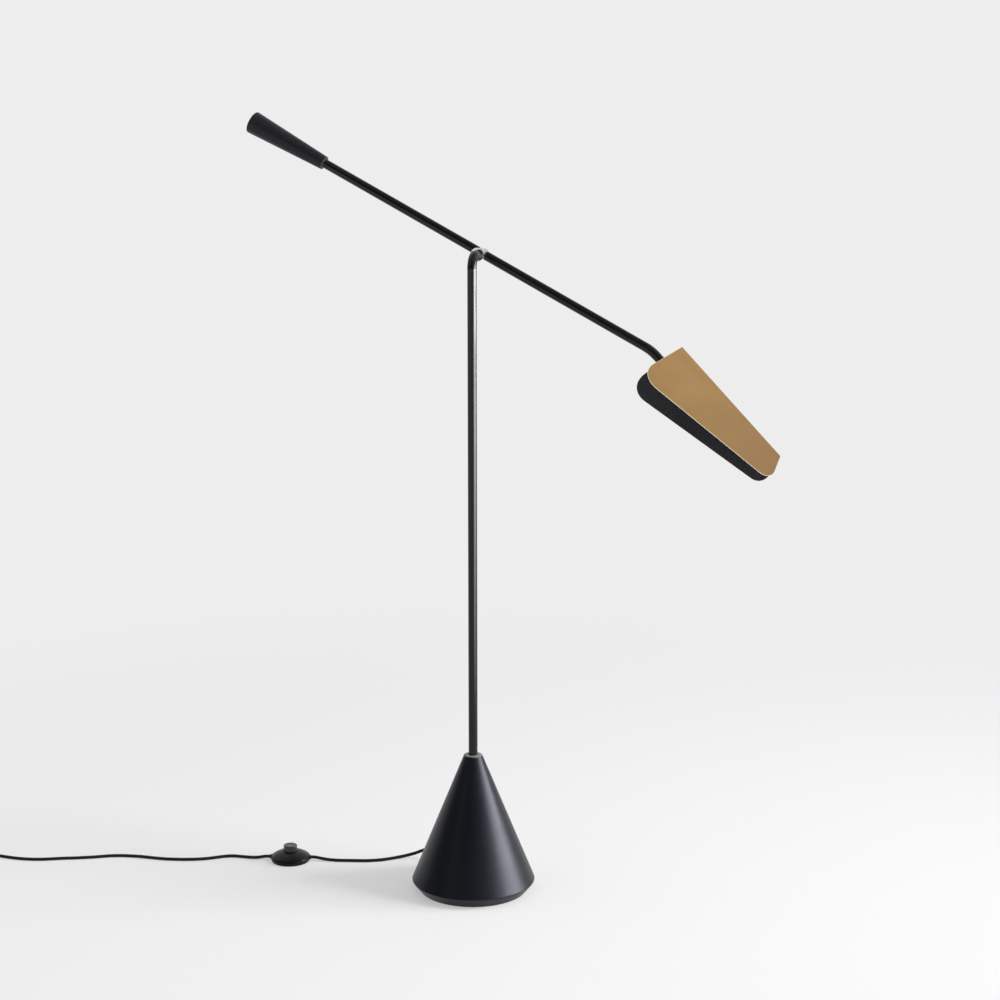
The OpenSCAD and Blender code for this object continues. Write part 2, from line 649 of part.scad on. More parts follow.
module screw_shell() color("#c9a35c") at_arm_end() difference() {
    union() {
        rod_x(holder_d / 2 - holder_wall - fit, cavity_x, shell_x);
        rod_x(shell_d / 2, cavity_x, shell_end);
    }
    rod_x(shell_d / 2 - shell_wall, shell_x, shell_end + 1);
}

module bulb_cap() color("#c8c9cc") at_arm_end() turned_x([[0, shell_x], [3, shell_x], [3, shell_x + 1.5],
    [cap_lamp_r, shell_x + 3], [cap_lamp_r, glass_x], [0, glass_x]]);

module bulb_glass() color("#f3efe6") at_arm_end() turned_x(rounded([[0, glass_x], [cap_lamp_r, glass_x],
    [cap_lamp_r, mouth_x], [glass_d / 2, mouth_x + 12], [glass_d / 2, glass_x + glass_len],
    [0, glass_x + glass_len]], [0, 0, 0, 6, glass_d * 0.42, 0]));

// Cross-section of the folded sheet: a V with a rounded fold, the arm's end axis at the origin
module fold_section() difference() {
    reach_down = leaf_wide + 20;
    foot = [reach_down * sin(fold_half_a), fold_top - reach_down * cos(fold_half_a)];
    inner = [(fold_inner - foot[1] + 1) * tan(fold_half_a), foot[1] - 1];
    polygon(rounded([[0, fold_top], [-foot[0], foot[1]], [foot[0], foot[1]]], [fold_r, 0, 0]));
    polygon(rounded([[0, fold_inner], [-inner[0], inner[1]], [inner[0], inner[1]]],
        [fold_r - sheet_t, 0, 0]));
}

// Side outline of the two leaves, seen square to the plane between them
module leaf_outline() {
    drop = cos(fold_half_a);
    polygon(rounded([[shade_x, fold_up + 6], [shade_x, fold_up],
        [shade_x - over_wide, fold_up - leaf_wide * drop],
        [shade_x + fold_len + over_narrow, fold_up - leaf_narrow * drop],
        [shade_x + fold_len, fold_up], [shade_x + fold_len, fold_up + 6]],
        [0, 0, wide_corner_r, narrow_corner_r, 0, 0], 12));
}

module shade_sheet() color("#a8845a") at_shade() intersection() {
    along_x(shade_x - over_wide - 5, shade_x + fold_len + over_narrow + 5) fold_section();
    rotate([90, 0, 0]) linear_extrude(4 * leaf_wide, center = true) leaf_outline();
}

// Bracket that closes the fold behind the lamp holder and turns on the shade's nipple
module shade_bracket() color("#1b1c1e") at_shade() difference() {
    top = leaf_gap(bracket_up);
    low = leaf_gap(-bracket_down);
    side = bracket_t / cos(fold_half_a);
    union() {
        along_x(web_x, web_x + bracket_t) polygon([[-top, bracket_up], [top, bracket_up],
            [low, -bracket_down], [-low, -bracket_down]]);
        along_x(web_x, web_x + flange_len) for (m = [1, -1]) polygon([[m * top, bracket_up],
            [m * low, -bracket_down], [m * (low - side), -bracket_down], [m * (top - side), bracket_up]]);
    }
    rod_x(nipple_d / 2 + run_fit, web_x - 1, web_x + bracket_t + 1);
}

// The two ways for the lead through the switch's wall, grown by g
module switch_ways(g) for (m = [0, 180]) rotate([0, 0, m]) translate([0, 0, entry_z])
    rod_x(bushing_d / 2 + g, switch_r - 8, switch_r + 4);

module at_switch_screws() for (m = [1, -1]) translate([0, m * switch_screw_at, 0]) children();

module switch_base() color("#161618") at_switch() difference() {
    rotate_extrude() polygon(rounded([[0, 0], [switch_r - shell_taper, 0], [switch_r, shell_h],
        [switch_r - switch_wall, shell_h], [switch_r - switch_wall - shell_taper, floor_t], [0, floor_t]],
        [0, 0.8, 0, 0, 0, 0]));
    switch_ways(fit);
    at_switch_screws() {
        translate([0, 0, -1]) cylinder(r = switch_screw_d, h = 2.5);
        translate([0, 0, -1]) cylinder(r = switch_screw_d / 2 + fit, h = floor_t + 2);
    }
}

module switch_cover() color("#1a1a1c") at_switch() difference() {
    union() {
        rotate_extrude() polygon(concat(dome_arc(0), back(dome_arc(switch_wall))));
        intersection() {
            at_switch_screws() translate([0, 0, floor_t]) cylinder(r = switch_screw_d / 2 + 2, h = dome_h);
            translate([0, 0, dome_z]) sphere(dome_r - switch_wall / 2, $fn = 128);
        }
    }
    translate([0, 0, shell_h]) cylinder(r = button_d / 2 + slide_gap, h = dome_h);
    switch_ways(fit);
    at_switch_screws() translate([0, 0, floor_t - 1]) cylinder(r = switch_screw_d / 2 + fit, h = 9);
}

module switch_block() color("#2f3033") at_switch() translate([-block_w / 2, -block_w * 0.4, floor_t])
    cube([block_w, block_w * 0.8, block_h]);

module switch_spring() color("#b9bbbe") at_switch() sweep(spring_path, spring_wire / 2, 6);

module switch_screws() color("#8c8f94") at_switch() at_switch_screws() {
    translate([0, 0, 0.3]) cylinder(r = switch_screw_d - 0.2, h = 1.2);
    translate([0, 0, 1.5]) cylinder(d = switch_screw_d, h = floor_t + 5.5);
}

module switch_bushings() color("#0f0f10") at_switch() for (m = [0, 180]) rotate([0, 0, m])
    translate([0, 0, entry_z]) turned_x([[0, switch_r - 6], [bushing_d / 2, switch_r - 6],
        [bushing_d / 2, switch_r + 1], [bushing_d / 2 - 0.8, bushing_end], [0, bushing_end]]);

module switch_button() color("#1d1d1f") at_switch() difference() {
    rotate_extrude() polygon(rounded([[0, flange_top - flange_t], [flange_r, flange_top - flange_t],
        [flange_r, flange_top], [button_d / 2, flange_top], [button_d / 2, button_h], [0, button_h]],
        [0, 0, 0, 0, button_edge_r, 0]));
    translate([0, 0, flange_top - flange_t - 1])
        cylinder(r = spring_r + spring_wire, h = spring_pocket - flange_top + flange_t + 1);
}

module cord_to_switch() color("#141414") sweep(path_switch, cord_r, 10);

module cord_to_coil() color("#141414") sweep(path_coil, cord_r, 10);

module cord_coil() color("#141414") sweep(path_wound, cord_r, 6);

// Strap round the coil's turns, away from the half turn where they climb
module coil_tie() color("#26262a") translate([coil_x, coil_y, 0]) rotate([0, 0, tie_angle])
    rotate([90, 0, 0]) linear_extrude(tie_w, center = true) difference() {
        inner_r = turn_r(coil_turns_in) - cord_r - 0.2;
        outer_r = coil_r + cord_r + slide_gap;
        top = coil_z + coil_rise + cord_r + slide_gap;
        translate([inner_r - tie_t, 0]) square([outer_r - inner_r + 2 * tie_t, top + tie_t]);
        translate([inner_r, tie_t - fit]) square([outer_r - inner_r, top - tie_t + fit]);
    }

module at_plug() translate(plug_at) rotate([0, 0, -90]) children();

module plug_body() color("#121213") at_plug() union() {
    turned_x([[0, 0], [cord_r + 1, 0], [plug_h * 0.36, plug_tail], [0, plug_tail]]);
    along_x(plug_tail - 0.5, plug_tail + plug_body_len) polygon(rounded([[-plug_w / 2, -plug_h / 2],
        [plug_w / 2, -plug_h / 2], [plug_w / 2, plug_h / 2], [-plug_w / 2, plug_h / 2]], [5, 5, 5, 5], 6));
}

module plug_blades() color("#c9a35c") at_plug() for (m = [1, -1])
    translate([plug_tail + plug_body_len, m * blade_gap / 2 - blade_t / 2, -blade_w / 2])
        cube([blade_len, blade_t, blade_w]);

base_cone();
ballast();
base_plate();
plate_screws();
felt_pad();
post_tube();
post_nipple();
base_washer();
base_nut();
base_lead();
cord_gland();
pivot_bush();
pivot_stud();
pivot_washer();
pivot_spring_washer();
pivot_cap();
arm_hub();
arm_tube_back();
arm_tube_front();
arm_lead();
counterweight();
clamp_screw();
shade_bush();
shade_nipple();
shade_washer();
shade_spring_washer();
lamp_holder();
screw_shell();
bulb_cap();
bulb_glass();
shade_sheet();
shade_bracket();
switch_base();
switch_cover();
switch_block();
switch_spring();
switch_screws();
switch_bushings();
switch_button();
cord_to_switch();
cord_to_coil();
cord_coil();
coil_tie();
plug_body();
plug_blades();
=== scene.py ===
# %% [markdown]
# # A counterweighted floor lamp
# This lesson dresses a finished CAD model of a floor lamp: a black cone base, a thin post, a tilting arm with
# a tapered weight, and a folded brass shade. The CAD parts come in first, as a frame that stays fixed.

# %% Load the lamp's frame
import json
from math import acos, atan2, cos, pi, radians, sin, tan

import bpy
from mathutils import Matrix, Vector

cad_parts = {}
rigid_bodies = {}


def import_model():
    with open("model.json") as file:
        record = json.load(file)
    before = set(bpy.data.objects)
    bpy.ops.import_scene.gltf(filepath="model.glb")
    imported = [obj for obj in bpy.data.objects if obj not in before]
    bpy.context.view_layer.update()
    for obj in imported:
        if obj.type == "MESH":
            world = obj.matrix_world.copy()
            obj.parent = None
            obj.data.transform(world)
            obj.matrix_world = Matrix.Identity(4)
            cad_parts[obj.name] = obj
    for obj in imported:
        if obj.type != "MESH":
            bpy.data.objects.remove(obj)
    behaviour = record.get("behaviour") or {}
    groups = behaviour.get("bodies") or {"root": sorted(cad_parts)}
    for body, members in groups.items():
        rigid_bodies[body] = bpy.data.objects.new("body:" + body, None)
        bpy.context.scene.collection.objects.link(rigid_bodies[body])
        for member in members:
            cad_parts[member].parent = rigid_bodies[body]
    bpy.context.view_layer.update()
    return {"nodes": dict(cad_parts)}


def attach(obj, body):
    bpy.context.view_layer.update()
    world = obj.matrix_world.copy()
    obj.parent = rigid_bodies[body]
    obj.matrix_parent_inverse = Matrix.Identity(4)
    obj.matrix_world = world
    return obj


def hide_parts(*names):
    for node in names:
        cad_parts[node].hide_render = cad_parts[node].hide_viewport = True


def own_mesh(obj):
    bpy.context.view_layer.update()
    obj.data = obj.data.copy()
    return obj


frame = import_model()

nodes = frame["nodes"]
mm = 0.001

# %% [markdown]
# The camera comes first, because every later choice is judged through it. The photograph was taken from a
# little right of the lamp's own plane, at about eye height and tilted down, with a short telephoto lens. A
# constraint could aim it, but two angles say the same. Turned about X by 90 degrees it looks level along +Y,
# so the dip is taken off that, and the turn about Z swings it round.

# %% Camera
CAMERA_AT = (0.951946, -3.368393, 1.380593)
CAMERA_DIP, CAMERA_SWING = 10.852, 15
LENS, FILM_WIDTH = 74.0, 36.0


def clear():
    bpy.ops.object.select_all(action="DESELECT")


clear()
bpy.ops.object.camera_add(location=CAMERA_AT,
                          rotation=(radians(90 - CAMERA_DIP), 0, radians(CAMERA_SWING)))
camera = bpy.context.active_object
camera.name = "photo_camera"
camera.data.lens = LENS
camera.data.sensor_width = FILM_WIDTH
bpy.context.scene.camera = camera
print("camera at", [round(x, 3) for x in camera.location], "lens", camera.data.lens)

# %% [markdown]
# The pieces lean and turn with the arm, so their places are easier to write in frames of their own. An empty
# for each could do that, but a matrix needs no object. There is one for the sloping arm, one for its bent
# end, one for the shade turned about that end, and one for the foot switch.

# %% Frames of the arm, the shade and the switch
REACH, PIVOT_Z, ARM_FRONT = 63.6 * mm, 1131 * mm, 339 * mm
ARM_TILT, ARM_BEND, SHADE_ROLL = radians(28), radians(18.5), radians(31)
SWITCH_AT, SWITCH_TURN = Vector((-366.5 * mm, 44 * mm, 0)), radians(12)
at_arm = Matrix.Translation((0, REACH, PIVOT_Z)) @ Matrix.Rotation(ARM_TILT, 4, "Y")
at_end = at_arm @ Matrix.Translation((ARM_FRONT, 0, 0)) @ Matrix.Rotation(ARM_BEND, 4, "Y")
at_shade = at_end @ Matrix.Rotation(-SHADE_ROLL, 4, "X")
at_switch = Matrix.Translation(SWITCH_AT) @ Matrix.Rotation(SWITCH_TURN, 4, "Z")
Z_TO_X = Matrix.Rotation(radians(90), 4, "Y")
print("arm end starts at", [round(x, 3) for x in at_end.translation])

# %% [markdown]
# Most surfaces on this lamp are paint, moulded plastic or worked metal. Their fine structure is much the same
# at different scales: small bumps, a slow drift of tone, a film of dust on what faces up, and edges rubbed
# bright. Each could be drawn again in every material. As a node group it is built once, and every finish
# gives it its own values. These helpers add a node and feed it with values or links.

# %% Helpers for shader nodes
def feed(tree, node, inputs):
    for label, value in inputs.items():
        place = node.inputs[label]
        if isinstance(value, bpy.types.NodeSocket):
            tree.links.new(value, place)
        else:
            place.default_value = (*value, 1.0) if place.type == "RGBA" else value


def add_node(tree, kind, inputs, **settings):
    made = tree.nodes.new(kind)
    for key, value in settings.items():
        setattr(made, key, value)
    feed(tree, made, inputs)
    return made.outputs


def maths(tree, operation, a, b=0.0):
    return add_node(tree, "ShaderNodeMath", {0: a, 1: b}, operation=operation)[0]


def noise(tree, vector, scale, detail, roughness=0.55):
    values = {"Vector": vector, "Scale": scale, "Detail": detail, "Roughness": roughness}
    return add_node(tree, "ShaderNodeTexNoise", values)["Fac"]


print("node helpers: feed, add_node, maths, noise")

# %% [markdown]
# Sprayed paint and moulded plastic have a fine, pebbled skin, and their tone is never quite even. One noise
# could give both, but the skin is far smaller than the drift of tone. So a fine noise is the height of the
# bumps, and the tone is that noise weighed with a slow one.

# %% Node group: grain
def start_group(name, outputs, **inputs):
    group = bpy.data.node_groups.new(name, "ShaderNodeTree")
    group.interface.new_socket(name="Vector", in_out="INPUT", socket_type="NodeSocketVector")
    for label, value in inputs.items():
        kind = "NodeSocketVector" if isinstance(value, tuple) else "NodeSocketFloat"
        group.interface.new_socket(name=label, in_out="INPUT", socket_type=kind).default_value = value
    for label in outputs:
        group.interface.new_socket(name=label, in_out="OUTPUT", socket_type="NodeSocketFloat")
    return group, group.nodes.new("NodeGroupInput").outputs, group.nodes.new("NodeGroupOutput")


def close_group(group, end, outputs):
    feed(group, end, outputs)
    print("group", group.name, "with", len(group.nodes), "nodes")


def weigh(tree, a, share, b):
    return maths(tree, "ADD", maths(tree, "MULTIPLY", a, share), maths(tree, "MULTIPLY", b, 1 - share))


grain, grain_in, grain_out = start_group("surface_grain", ["Height", "Tone"], Scale=900.0, Drift=9.0)
fine = noise(grain, grain_in["Vector"], grain_in["Scale"], 3.0)
slow = noise(grain, grain_in["Vector"], grain_in["Drift"], 2.0)
close_group(grain, grain_out, {"Height": fine, "Tone": weigh(grain, fine, 0.4, slow)})

# %% [markdown]
# Brass is brushed by drawing it under an abrasive belt, which leaves long fine lines. A wave texture would
# make them too even. A noise is stretched instead: its coordinates are multiplied by little along the lines
# and by much across them. Slow patches keep the sheet from looking ruled.

# %% Node group: brushed lines
brushed, brushed_in, brushed_out = start_group(
    "brushed_lines", ["Height", "Tone"], Stretch=(12.0, 900.0, 900.0))
drawn = add_node(brushed, "ShaderNodeVectorMath", {0: brushed_in["Vector"], 1: brushed_in["Stretch"]},
                 operation="MULTIPLY")
lines = noise(brushed, drawn[0], 1.0, 4.0, 0.7)
patches = noise(brushed, brushed_in["Vector"], 14.0, 2.0)
close_group(brushed, brushed_out, {"Height": lines, "Tone": weigh(brushed, lines, 0.6, patches)})

# %% [markdown]
# Dust settles only on what faces up. It could be painted on, but the normal's Z already says how far a
# surface faces up. That is multiplied by small flecks and by an amount, and each finish mixes in grey by this
# mask.

# %% Node group: dust
def axis(tree, vector, letter):
    return add_node(tree, "ShaderNodeSeparateXYZ", {0: vector})[letter]


dust, dust_in, dust_out = start_group("settled_dust", ["Mask"], Amount=0.1)
facing = add_node(dust, "ShaderNodeNewGeometry", {})["Normal"]
upward = maths(dust, "MAXIMUM", axis(dust, facing, "Z"), 0.0)
flecks = noise(dust, dust_in["Vector"], 160.0, 4.0, 0.65)
settled = maths(dust, "MULTIPLY", upward, flecks)
close_group(dust, dust_out, {"Mask": maths(dust, "MULTIPLY", settled, dust_in["Amount"])})

# %% [markdown]
# Paint wears first on an edge that shoes and hands rub, and the same band also paints a highlight on two
# edges.
# Pointiness could find every edge, but it needs a fine mesh, and only a few edges of this lamp are worn or
# painted bright. They are all round an axis, so a band at one height along that axis is enough. It fades to
# both sides, and a noise breaks it up.

# %% Node group: rubbed band, also used for painted highlights
rubbed_or_lit, rubbed_or_lit_in, rubbed_or_lit_out = start_group("rubbed_or_highlight_band", ["Mask"], Centre=0.0, Half=0.002, Amount=0.5)
height = axis(rubbed_or_lit, rubbed_or_lit_in["Vector"], "Z")
away = maths(rubbed_or_lit, "ABSOLUTE", maths(rubbed_or_lit, "SUBTRACT", height, rubbed_or_lit_in["Centre"]))
near = maths(rubbed_or_lit, "SUBTRACT", 1.0, maths(rubbed_or_lit, "DIVIDE", away, rubbed_or_lit_in["Half"]))
broken = noise(rubbed_or_lit, rubbed_or_lit_in["Vector"], 220.0, 3.0, 0.6)
patchy = maths(rubbed_or_lit, "MULTIPLY", maths(rubbed_or_lit, "MAXIMUM", near, 0.0), broken)
close_group(rubbed_or_lit, rubbed_or_lit_out, {"Mask": maths(rubbed_or_lit, "MULTIPLY", patchy, rubbed_or_lit_in["Amount"])})

# %% [markdown]
# A finish is the same few steps each time: mix two colours, map a mask to a range, place a group, turn a
# height into a bump. Small functions keep those steps readable. The patterns read Object coordinates, so they
# keep their real size on every piece. Where a pattern follows a piece that leans, a Mapping node turns them
# first.

# %% Helpers for materials
def mix_colour(tree, factor, a, b):
    return add_node(tree, "ShaderNodeMix", {"Factor": factor, "A": a, "B": b}, data_type="RGBA")["Result"]


def ramp(tree, value, from_min, from_max, to_min=0.0, to_max=1.0, kind="LINEAR"):
    limits = {"From Min": from_min, "From Max": from_max, "To Min": to_min, "To Max": to_max}
    return add_node(tree, "ShaderNodeMapRange", {"Value": value, **limits}, interpolation_type=kind)["Result"]


def use_group(tree, group, vector, **values):
    return add_node(tree, "ShaderNodeGroup", {"Vector": vector, **values}, node_tree=group)


def bump(tree, height, strength, distance):
    values = {"Height": height, "Strength": strength, "Distance": distance}
    return add_node(tree, "ShaderNodeBump", values)["Normal"]


def in_frame(tree, vector, matrix):
    values = {"Vector": vector, "Location": matrix.translation, "Rotation": matrix.to_euler("XYZ")}
    return add_node(tree, "ShaderNodeMapping", values, vector_type="TEXTURE")["Vector"]


print("material helpers: mix_colour, ramp, use_group, bump, in_frame")

# %% [markdown]
# One builder makes all the grained finishes: paint, plastic, rubber and plain metal. Each could have a node
# tree of its own, but they differ only in values. The tone drifts between two colours, the same tone moves
# the roughness a little, the grain feeds a bump, dust lightens what faces up, and a band along an edge can be
# rubbed brighter or carry a painted highlight. What is even all over the piece, such as metallic or specular,
# is set on the shader itself.

# %% Builder for grained finishes
TONE_LOW, TONE_HIGH = 0.3, 0.7
DUST_GREY = (0.35, 0.34, 0.33)
GRAIN_BUMP, GRAIN_ROUGH = 0.35, 0.05


def start_material(name):
    material = bpy.data.materials.new(name)
    material.use_nodes = True
    tree = material.node_tree
    place = add_node(tree, "ShaderNodeTexCoord", {})["Object"]
    return material, tree, tree.nodes["Principled BSDF"], place


def spread(tree, tone, low, high):
    return ramp(tree, tone, TONE_LOW, TONE_HIGH, low, high)


def grained(name, dark, light, rough, scale, depth, metallic=0.0, coat=0.0, specular=0.5,
            tint=(1.0, 1.0, 1.0), dusty=0.0, worn_or_lit=()):
    material, tree, shader, place = start_material(name + "_finish")
    skin = use_group(tree, grain, place, Scale=scale)
    colour = mix_colour(tree, spread(tree, skin["Tone"], 0.0, 1.0), dark, light)
    if dusty:
        film = use_group(tree, dust, place, Amount=dusty)
        colour = mix_colour(tree, film["Mask"], colour, DUST_GREY)
    # Each band is either rubbed paint or a painted highlight; its last value is the bare or highlight colour.
    for edge_frame, centre, half, amount, bare_or_lit in worn_or_lit:
        edge = in_frame(tree, place, edge_frame)
        band = use_group(tree, rubbed_or_lit, edge, Centre=centre, Half=half, Amount=amount)
        colour = mix_colour(tree, band["Mask"], colour, bare_or_lit)
    feed(tree, shader, {
        "Base Color": colour, "Metallic": metallic, "Coat Weight": coat, "Specular IOR Level": specular,
        "Specular Tint": tint, "Normal": bump(tree, skin["Height"], GRAIN_BUMP, depth),
        "Roughness": spread(tree, skin["Tone"], rough - GRAIN_ROUGH, rough + GRAIN_ROUGH)})
    return material


print("finishes are built by", grained.__name__)

# %% [markdown]
# The lamp's metal is sprayed black. A plain black would do from afar, but the paint is satin and slightly
# blue on the cone, greyer on the weight, and glossier and warmer on the tubes, so each has its own two tones.
# Paint is thinnest on an edge, so the cone's rim is rubbed a little. The cone's top edge and the small end of
# the weight get a bright band that is a painted highlight. A band is given by its frame, its height there,
# half its width, an amount and the bare or highlight colour.

# %% Paints
CONE_RIM, CONE_TOP, WEIGHT_END = 19 * mm, 250.5 * mm, -322 * mm
upright = Matrix.Identity(4)
weight_edge = at_arm @ Matrix.Translation((WEIGHT_END, 0, 0)) @ Z_TO_X
# The rim band is rubbed paint; the brighter band on the top edge is a painted highlight.
cone_paint = grained(
    "cone_paint", (0.0035, 0.0040, 0.0070), (0.0060, 0.0068, 0.0105), rough=0.36, scale=1400, depth=0.00008,
    specular=0.22, tint=(0.82, 0.87, 1.0), dusty=0.03,
    worn_or_lit=[(upright, CONE_RIM, 1.5 * mm, 0.16, (0.10, 0.10, 0.11)),
         (upright, CONE_TOP, 2.2 * mm, 1.4, (0.50, 0.50, 0.52))])
tube_paint = grained(
    "tube_paint", (0.0050, 0.0041, 0.0034), (0.0088, 0.0074, 0.0062), rough=0.13, scale=1600, depth=0.000012,
    specular=0.30, dusty=0.02)
# The band at the weight's small end is a painted highlight.
weight_paint = grained(
    "weight_paint", (0.0140, 0.0136, 0.0185), (0.0205, 0.0200, 0.0262), rough=0.42, scale=1400, depth=0.00008,
    specular=0.22, dusty=0.05, worn_or_lit=[(weight_edge, -0.6 * mm, 1.6 * mm, 0.75, (0.32, 0.32, 0.33))])
inside_paint = grained(
    "inside_paint", (0.0265, 0.0262, 0.0300), (0.0450, 0.0445, 0.0500), rough=0.62, scale=1800, depth=0.00010,
    specular=0.25)
plate_paint = grained(
    "plate_paint", (0.030, 0.030, 0.032), (0.045, 0.045, 0.047), rough=0.55, scale=1200, depth=0.00010)
print("paints:", cone_paint.name, tube_paint.name, weight_paint.name, inside_paint.name)

# %% [markdown]
# The foot switch, the lamp holder, the tie and the lead's jacket are moulded plastic and rubber, and the base
# stands on felt. Most of them are nearly black, so what tells them apart is the gloss and the size of the
# grain: the button is the shiniest, the felt has the deepest nap, and the ballast in the base is as coarse as
# stone.

# %% Plastics, rubber and felt
switch_plastic = grained(
    "switch_plastic", (0.0024, 0.0024, 0.0026), (0.0042, 0.0042, 0.0045), rough=0.30, scale=2600,
    depth=0.00004, specular=0.20, dusty=0.015)
button_plastic = grained(
    "button_plastic", (0.0040, 0.0040, 0.0044), (0.0070, 0.0070, 0.0075), rough=0.30, scale=3200,
    depth=0.00006, specular=0.65, dusty=0.06)
block_plastic = grained(
    "block_plastic", (0.030, 0.031, 0.034), (0.045, 0.046, 0.050), rough=0.55, scale=2400, depth=0.00008)
holder_plastic = grained(
    "holder_plastic", (0.0080, 0.0080, 0.0088), (0.0135, 0.0135, 0.0145), rough=0.38, scale=1500,
    depth=0.00005, specular=0.4)
tie_plastic = grained(
    "tie_plastic", (0.014, 0.014, 0.016), (0.026, 0.026, 0.028), rough=0.7, scale=2200, depth=0.00016,
    specular=0.3)
cord_rubber = grained(
    "cord_rubber", (0.0045, 0.0045, 0.0045), (0.0075, 0.0075, 0.0075), rough=0.46, scale=2400, depth=0.00006,
    specular=0.22, dusty=0.04)
gland_rubber = grained(
    "gland_rubber", (0.0050, 0.0050, 0.0054), (0.0085, 0.0085, 0.0088), rough=0.55, scale=2000, depth=0.00008,
    specular=0.3, dusty=0.05)
fibre_washer = grained(
    "fibre_washer", (0.035, 0.022, 0.017), (0.060, 0.038, 0.028), rough=0.75, scale=1800, depth=0.00012)
felt = grained(
    "felt", (0.018, 0.017, 0.018), (0.040, 0.038, 0.040), rough=0.92, scale=1100, depth=0.00060, specular=0.2)
ballast_stone = grained(
    "ballast_stone", (0.19, 0.18, 0.17), (0.36, 0.35, 0.33), rough=0.85, scale=420, depth=0.00060)
print("moulded finishes:", switch_plastic.name, button_plastic.name, cord_rubber.name, felt.name)

# %% [markdown]
# The pivot's washer and hub are nickel-plated, screws and spring washers are plain steel, nipples and nuts
# are brass. A metal has its colour in the reflection, so the same builder makes it with metallic at 1. The
# bulb is opal glass. Glass could be built with transmission, but opal glass scatters all its light, so a pale
# body under a thin coat looks the same.

# %% Metals and opal glass
steel = grained(
    "steel", (0.50, 0.51, 0.52), (0.62, 0.63, 0.64), rough=0.30, scale=2200, depth=0.00003, metallic=1.0)
nickel = grained(
    "nickel", (0.56, 0.55, 0.54), (0.68, 0.67, 0.66), rough=0.20, scale=2400, depth=0.00002, metallic=1.0)
brass_fitting = grained(
    "brass_fitting", (0.60, 0.40, 0.14), (0.72, 0.50, 0.20), rough=0.30, scale=2000, depth=0.00003,
    metallic=1.0)
opal_glass = grained(
    "opal_glass", (0.82, 0.80, 0.76), (0.88, 0.86, 0.82), rough=0.22, scale=500, depth=0.00002, coat=0.3)
print("metals:", steel.name, nickel.name, brass_fitting.name, "and glass:", opal_glass.name)

# %% [markdown]
# The shade's outside is satin brass, brushed along the fold. A UV map could carry the lines round the bend.
# But the fold is straight, so it is enough to turn the coordinates into the shade's own frame before they are
# stretched. Toward the narrow end the brass is painted a little darker, a painted shade where it mirrors less
# light. The sheet's cut edge is bare brass, painted paler as a painted highlight.

# %% Brushed brass for the shade
PAINTED_SHADE_FROM, PAINTED_SHADE_TO = 40 * mm, 330 * mm
BRASS_BUMP, BRASS_DEPTH, BRASS_ROUGH = 0.25, 0.00004, 0.06


def brushed_brass(name, dark, light, painted_shade_end, rough, lines):
    material, tree, shader, place = start_material(name + "_finish")
    along_fold = in_frame(tree, place, at_shade)
    sheet = use_group(tree, brushed, along_fold, Stretch=lines)
    colour = mix_colour(tree, spread(tree, sheet["Tone"], 0.0, 1.0), dark, light)
    # Painted shade: the brass darkens toward the narrow end.
    toward_painted_shade = ramp(tree, axis(tree, along_fold, "X"), PAINTED_SHADE_FROM, PAINTED_SHADE_TO, kind="SMOOTHSTEP")
    feed(tree, shader, {
        "Base Color": mix_colour(tree, toward_painted_shade, colour, painted_shade_end), "Metallic": 1.0,
        "Normal": bump(tree, sheet["Height"], BRASS_BUMP, BRASS_DEPTH),
        "Roughness": spread(tree, sheet["Tone"], rough + BRASS_ROUGH, rough - BRASS_ROUGH)})
    return material


# The third colour is the painted shade at the narrow end.
shade_brass = brushed_brass(
    "shade_brass", (0.40, 0.235, 0.095), (0.50, 0.310, 0.135), (0.375, 0.226, 0.108), rough=0.31,
    lines=(9.0, 1500.0, 1500.0))
# The cut edge is bare brass, painted pale as a painted highlight.
cut_brass_painted_bright = brushed_brass(
    "cut_brass_painted_bright", (0.93, 0.85, 0.70), (0.98, 0.93, 0.83), (0.90, 0.82, 0.66), rough=0.34,
    lines=(60.0, 2500.0, 2500.0))
print("brass finishes:", shade_brass.name, cut_brass_painted_bright.name)

# %% [markdown]
# The lead comes out of the base on its far side and lies on the floor as one smooth line. It could be left to
# a simulation, but the photograph shows where it lies. So its route is a short list of points in millimetres,
# as in the CAD source: x, y, and the lift where it is off the floor.

# %% Route from the base to the switch
CORD_D = 6 * mm
STRAIGHT = 0.008
GLAND_TURN, GLAND_Z, GLAND_TIP = radians(135), 26 * mm, 138 * mm
SWITCH_SIDE, ENTRY_Z = 0.0385, 6.5 * mm
to_switch = [(-117, 113, 19), (-131, 117, 12.5), (-145, 115, 6.5), (-159, 109, 3), (-172, 102, 1),
             (-184, 94), (-198, 83), (-213, 75), (-229, 69), (-246, 65), (-263, 61), (-278, 58),
             (-291, 56.5, 0.2), (-304, 55.5, 1.1)]


def on_floor(points):
    return [Vector((x * mm, y * mm, sum(lift) * mm + CORD_D / 2)) for x, y, *lift in points]


gland_way = Vector((cos(GLAND_TURN), sin(GLAND_TURN), 0))
switch_way = Vector((cos(SWITCH_TURN), sin(SWITCH_TURN), 0))
gland_tip = gland_way * GLAND_TIP + Vector((0, 0, GLAND_Z))
switch_entry = SWITCH_AT + Vector((0, 0, ENTRY_Z))
switch_in = switch_entry + switch_way * SWITCH_SIDE
first_route = [gland_tip, gland_tip + gland_way * STRAIGHT, *on_floor(to_switch),
               switch_in + switch_way * STRAIGHT, switch_in]
print("points on the way to the switch:", len(first_route))

# %% [markdown]
# Beyond the switch the lead leaves the picture. What is left of its length is wound into a small coil there,
# as for storage. A stack of circles would be quicker to draw, but a lead is one line: it winds inward on the
# floor, climbs by its own thickness in half a turn, and winds outward again on top, to end in the plug.

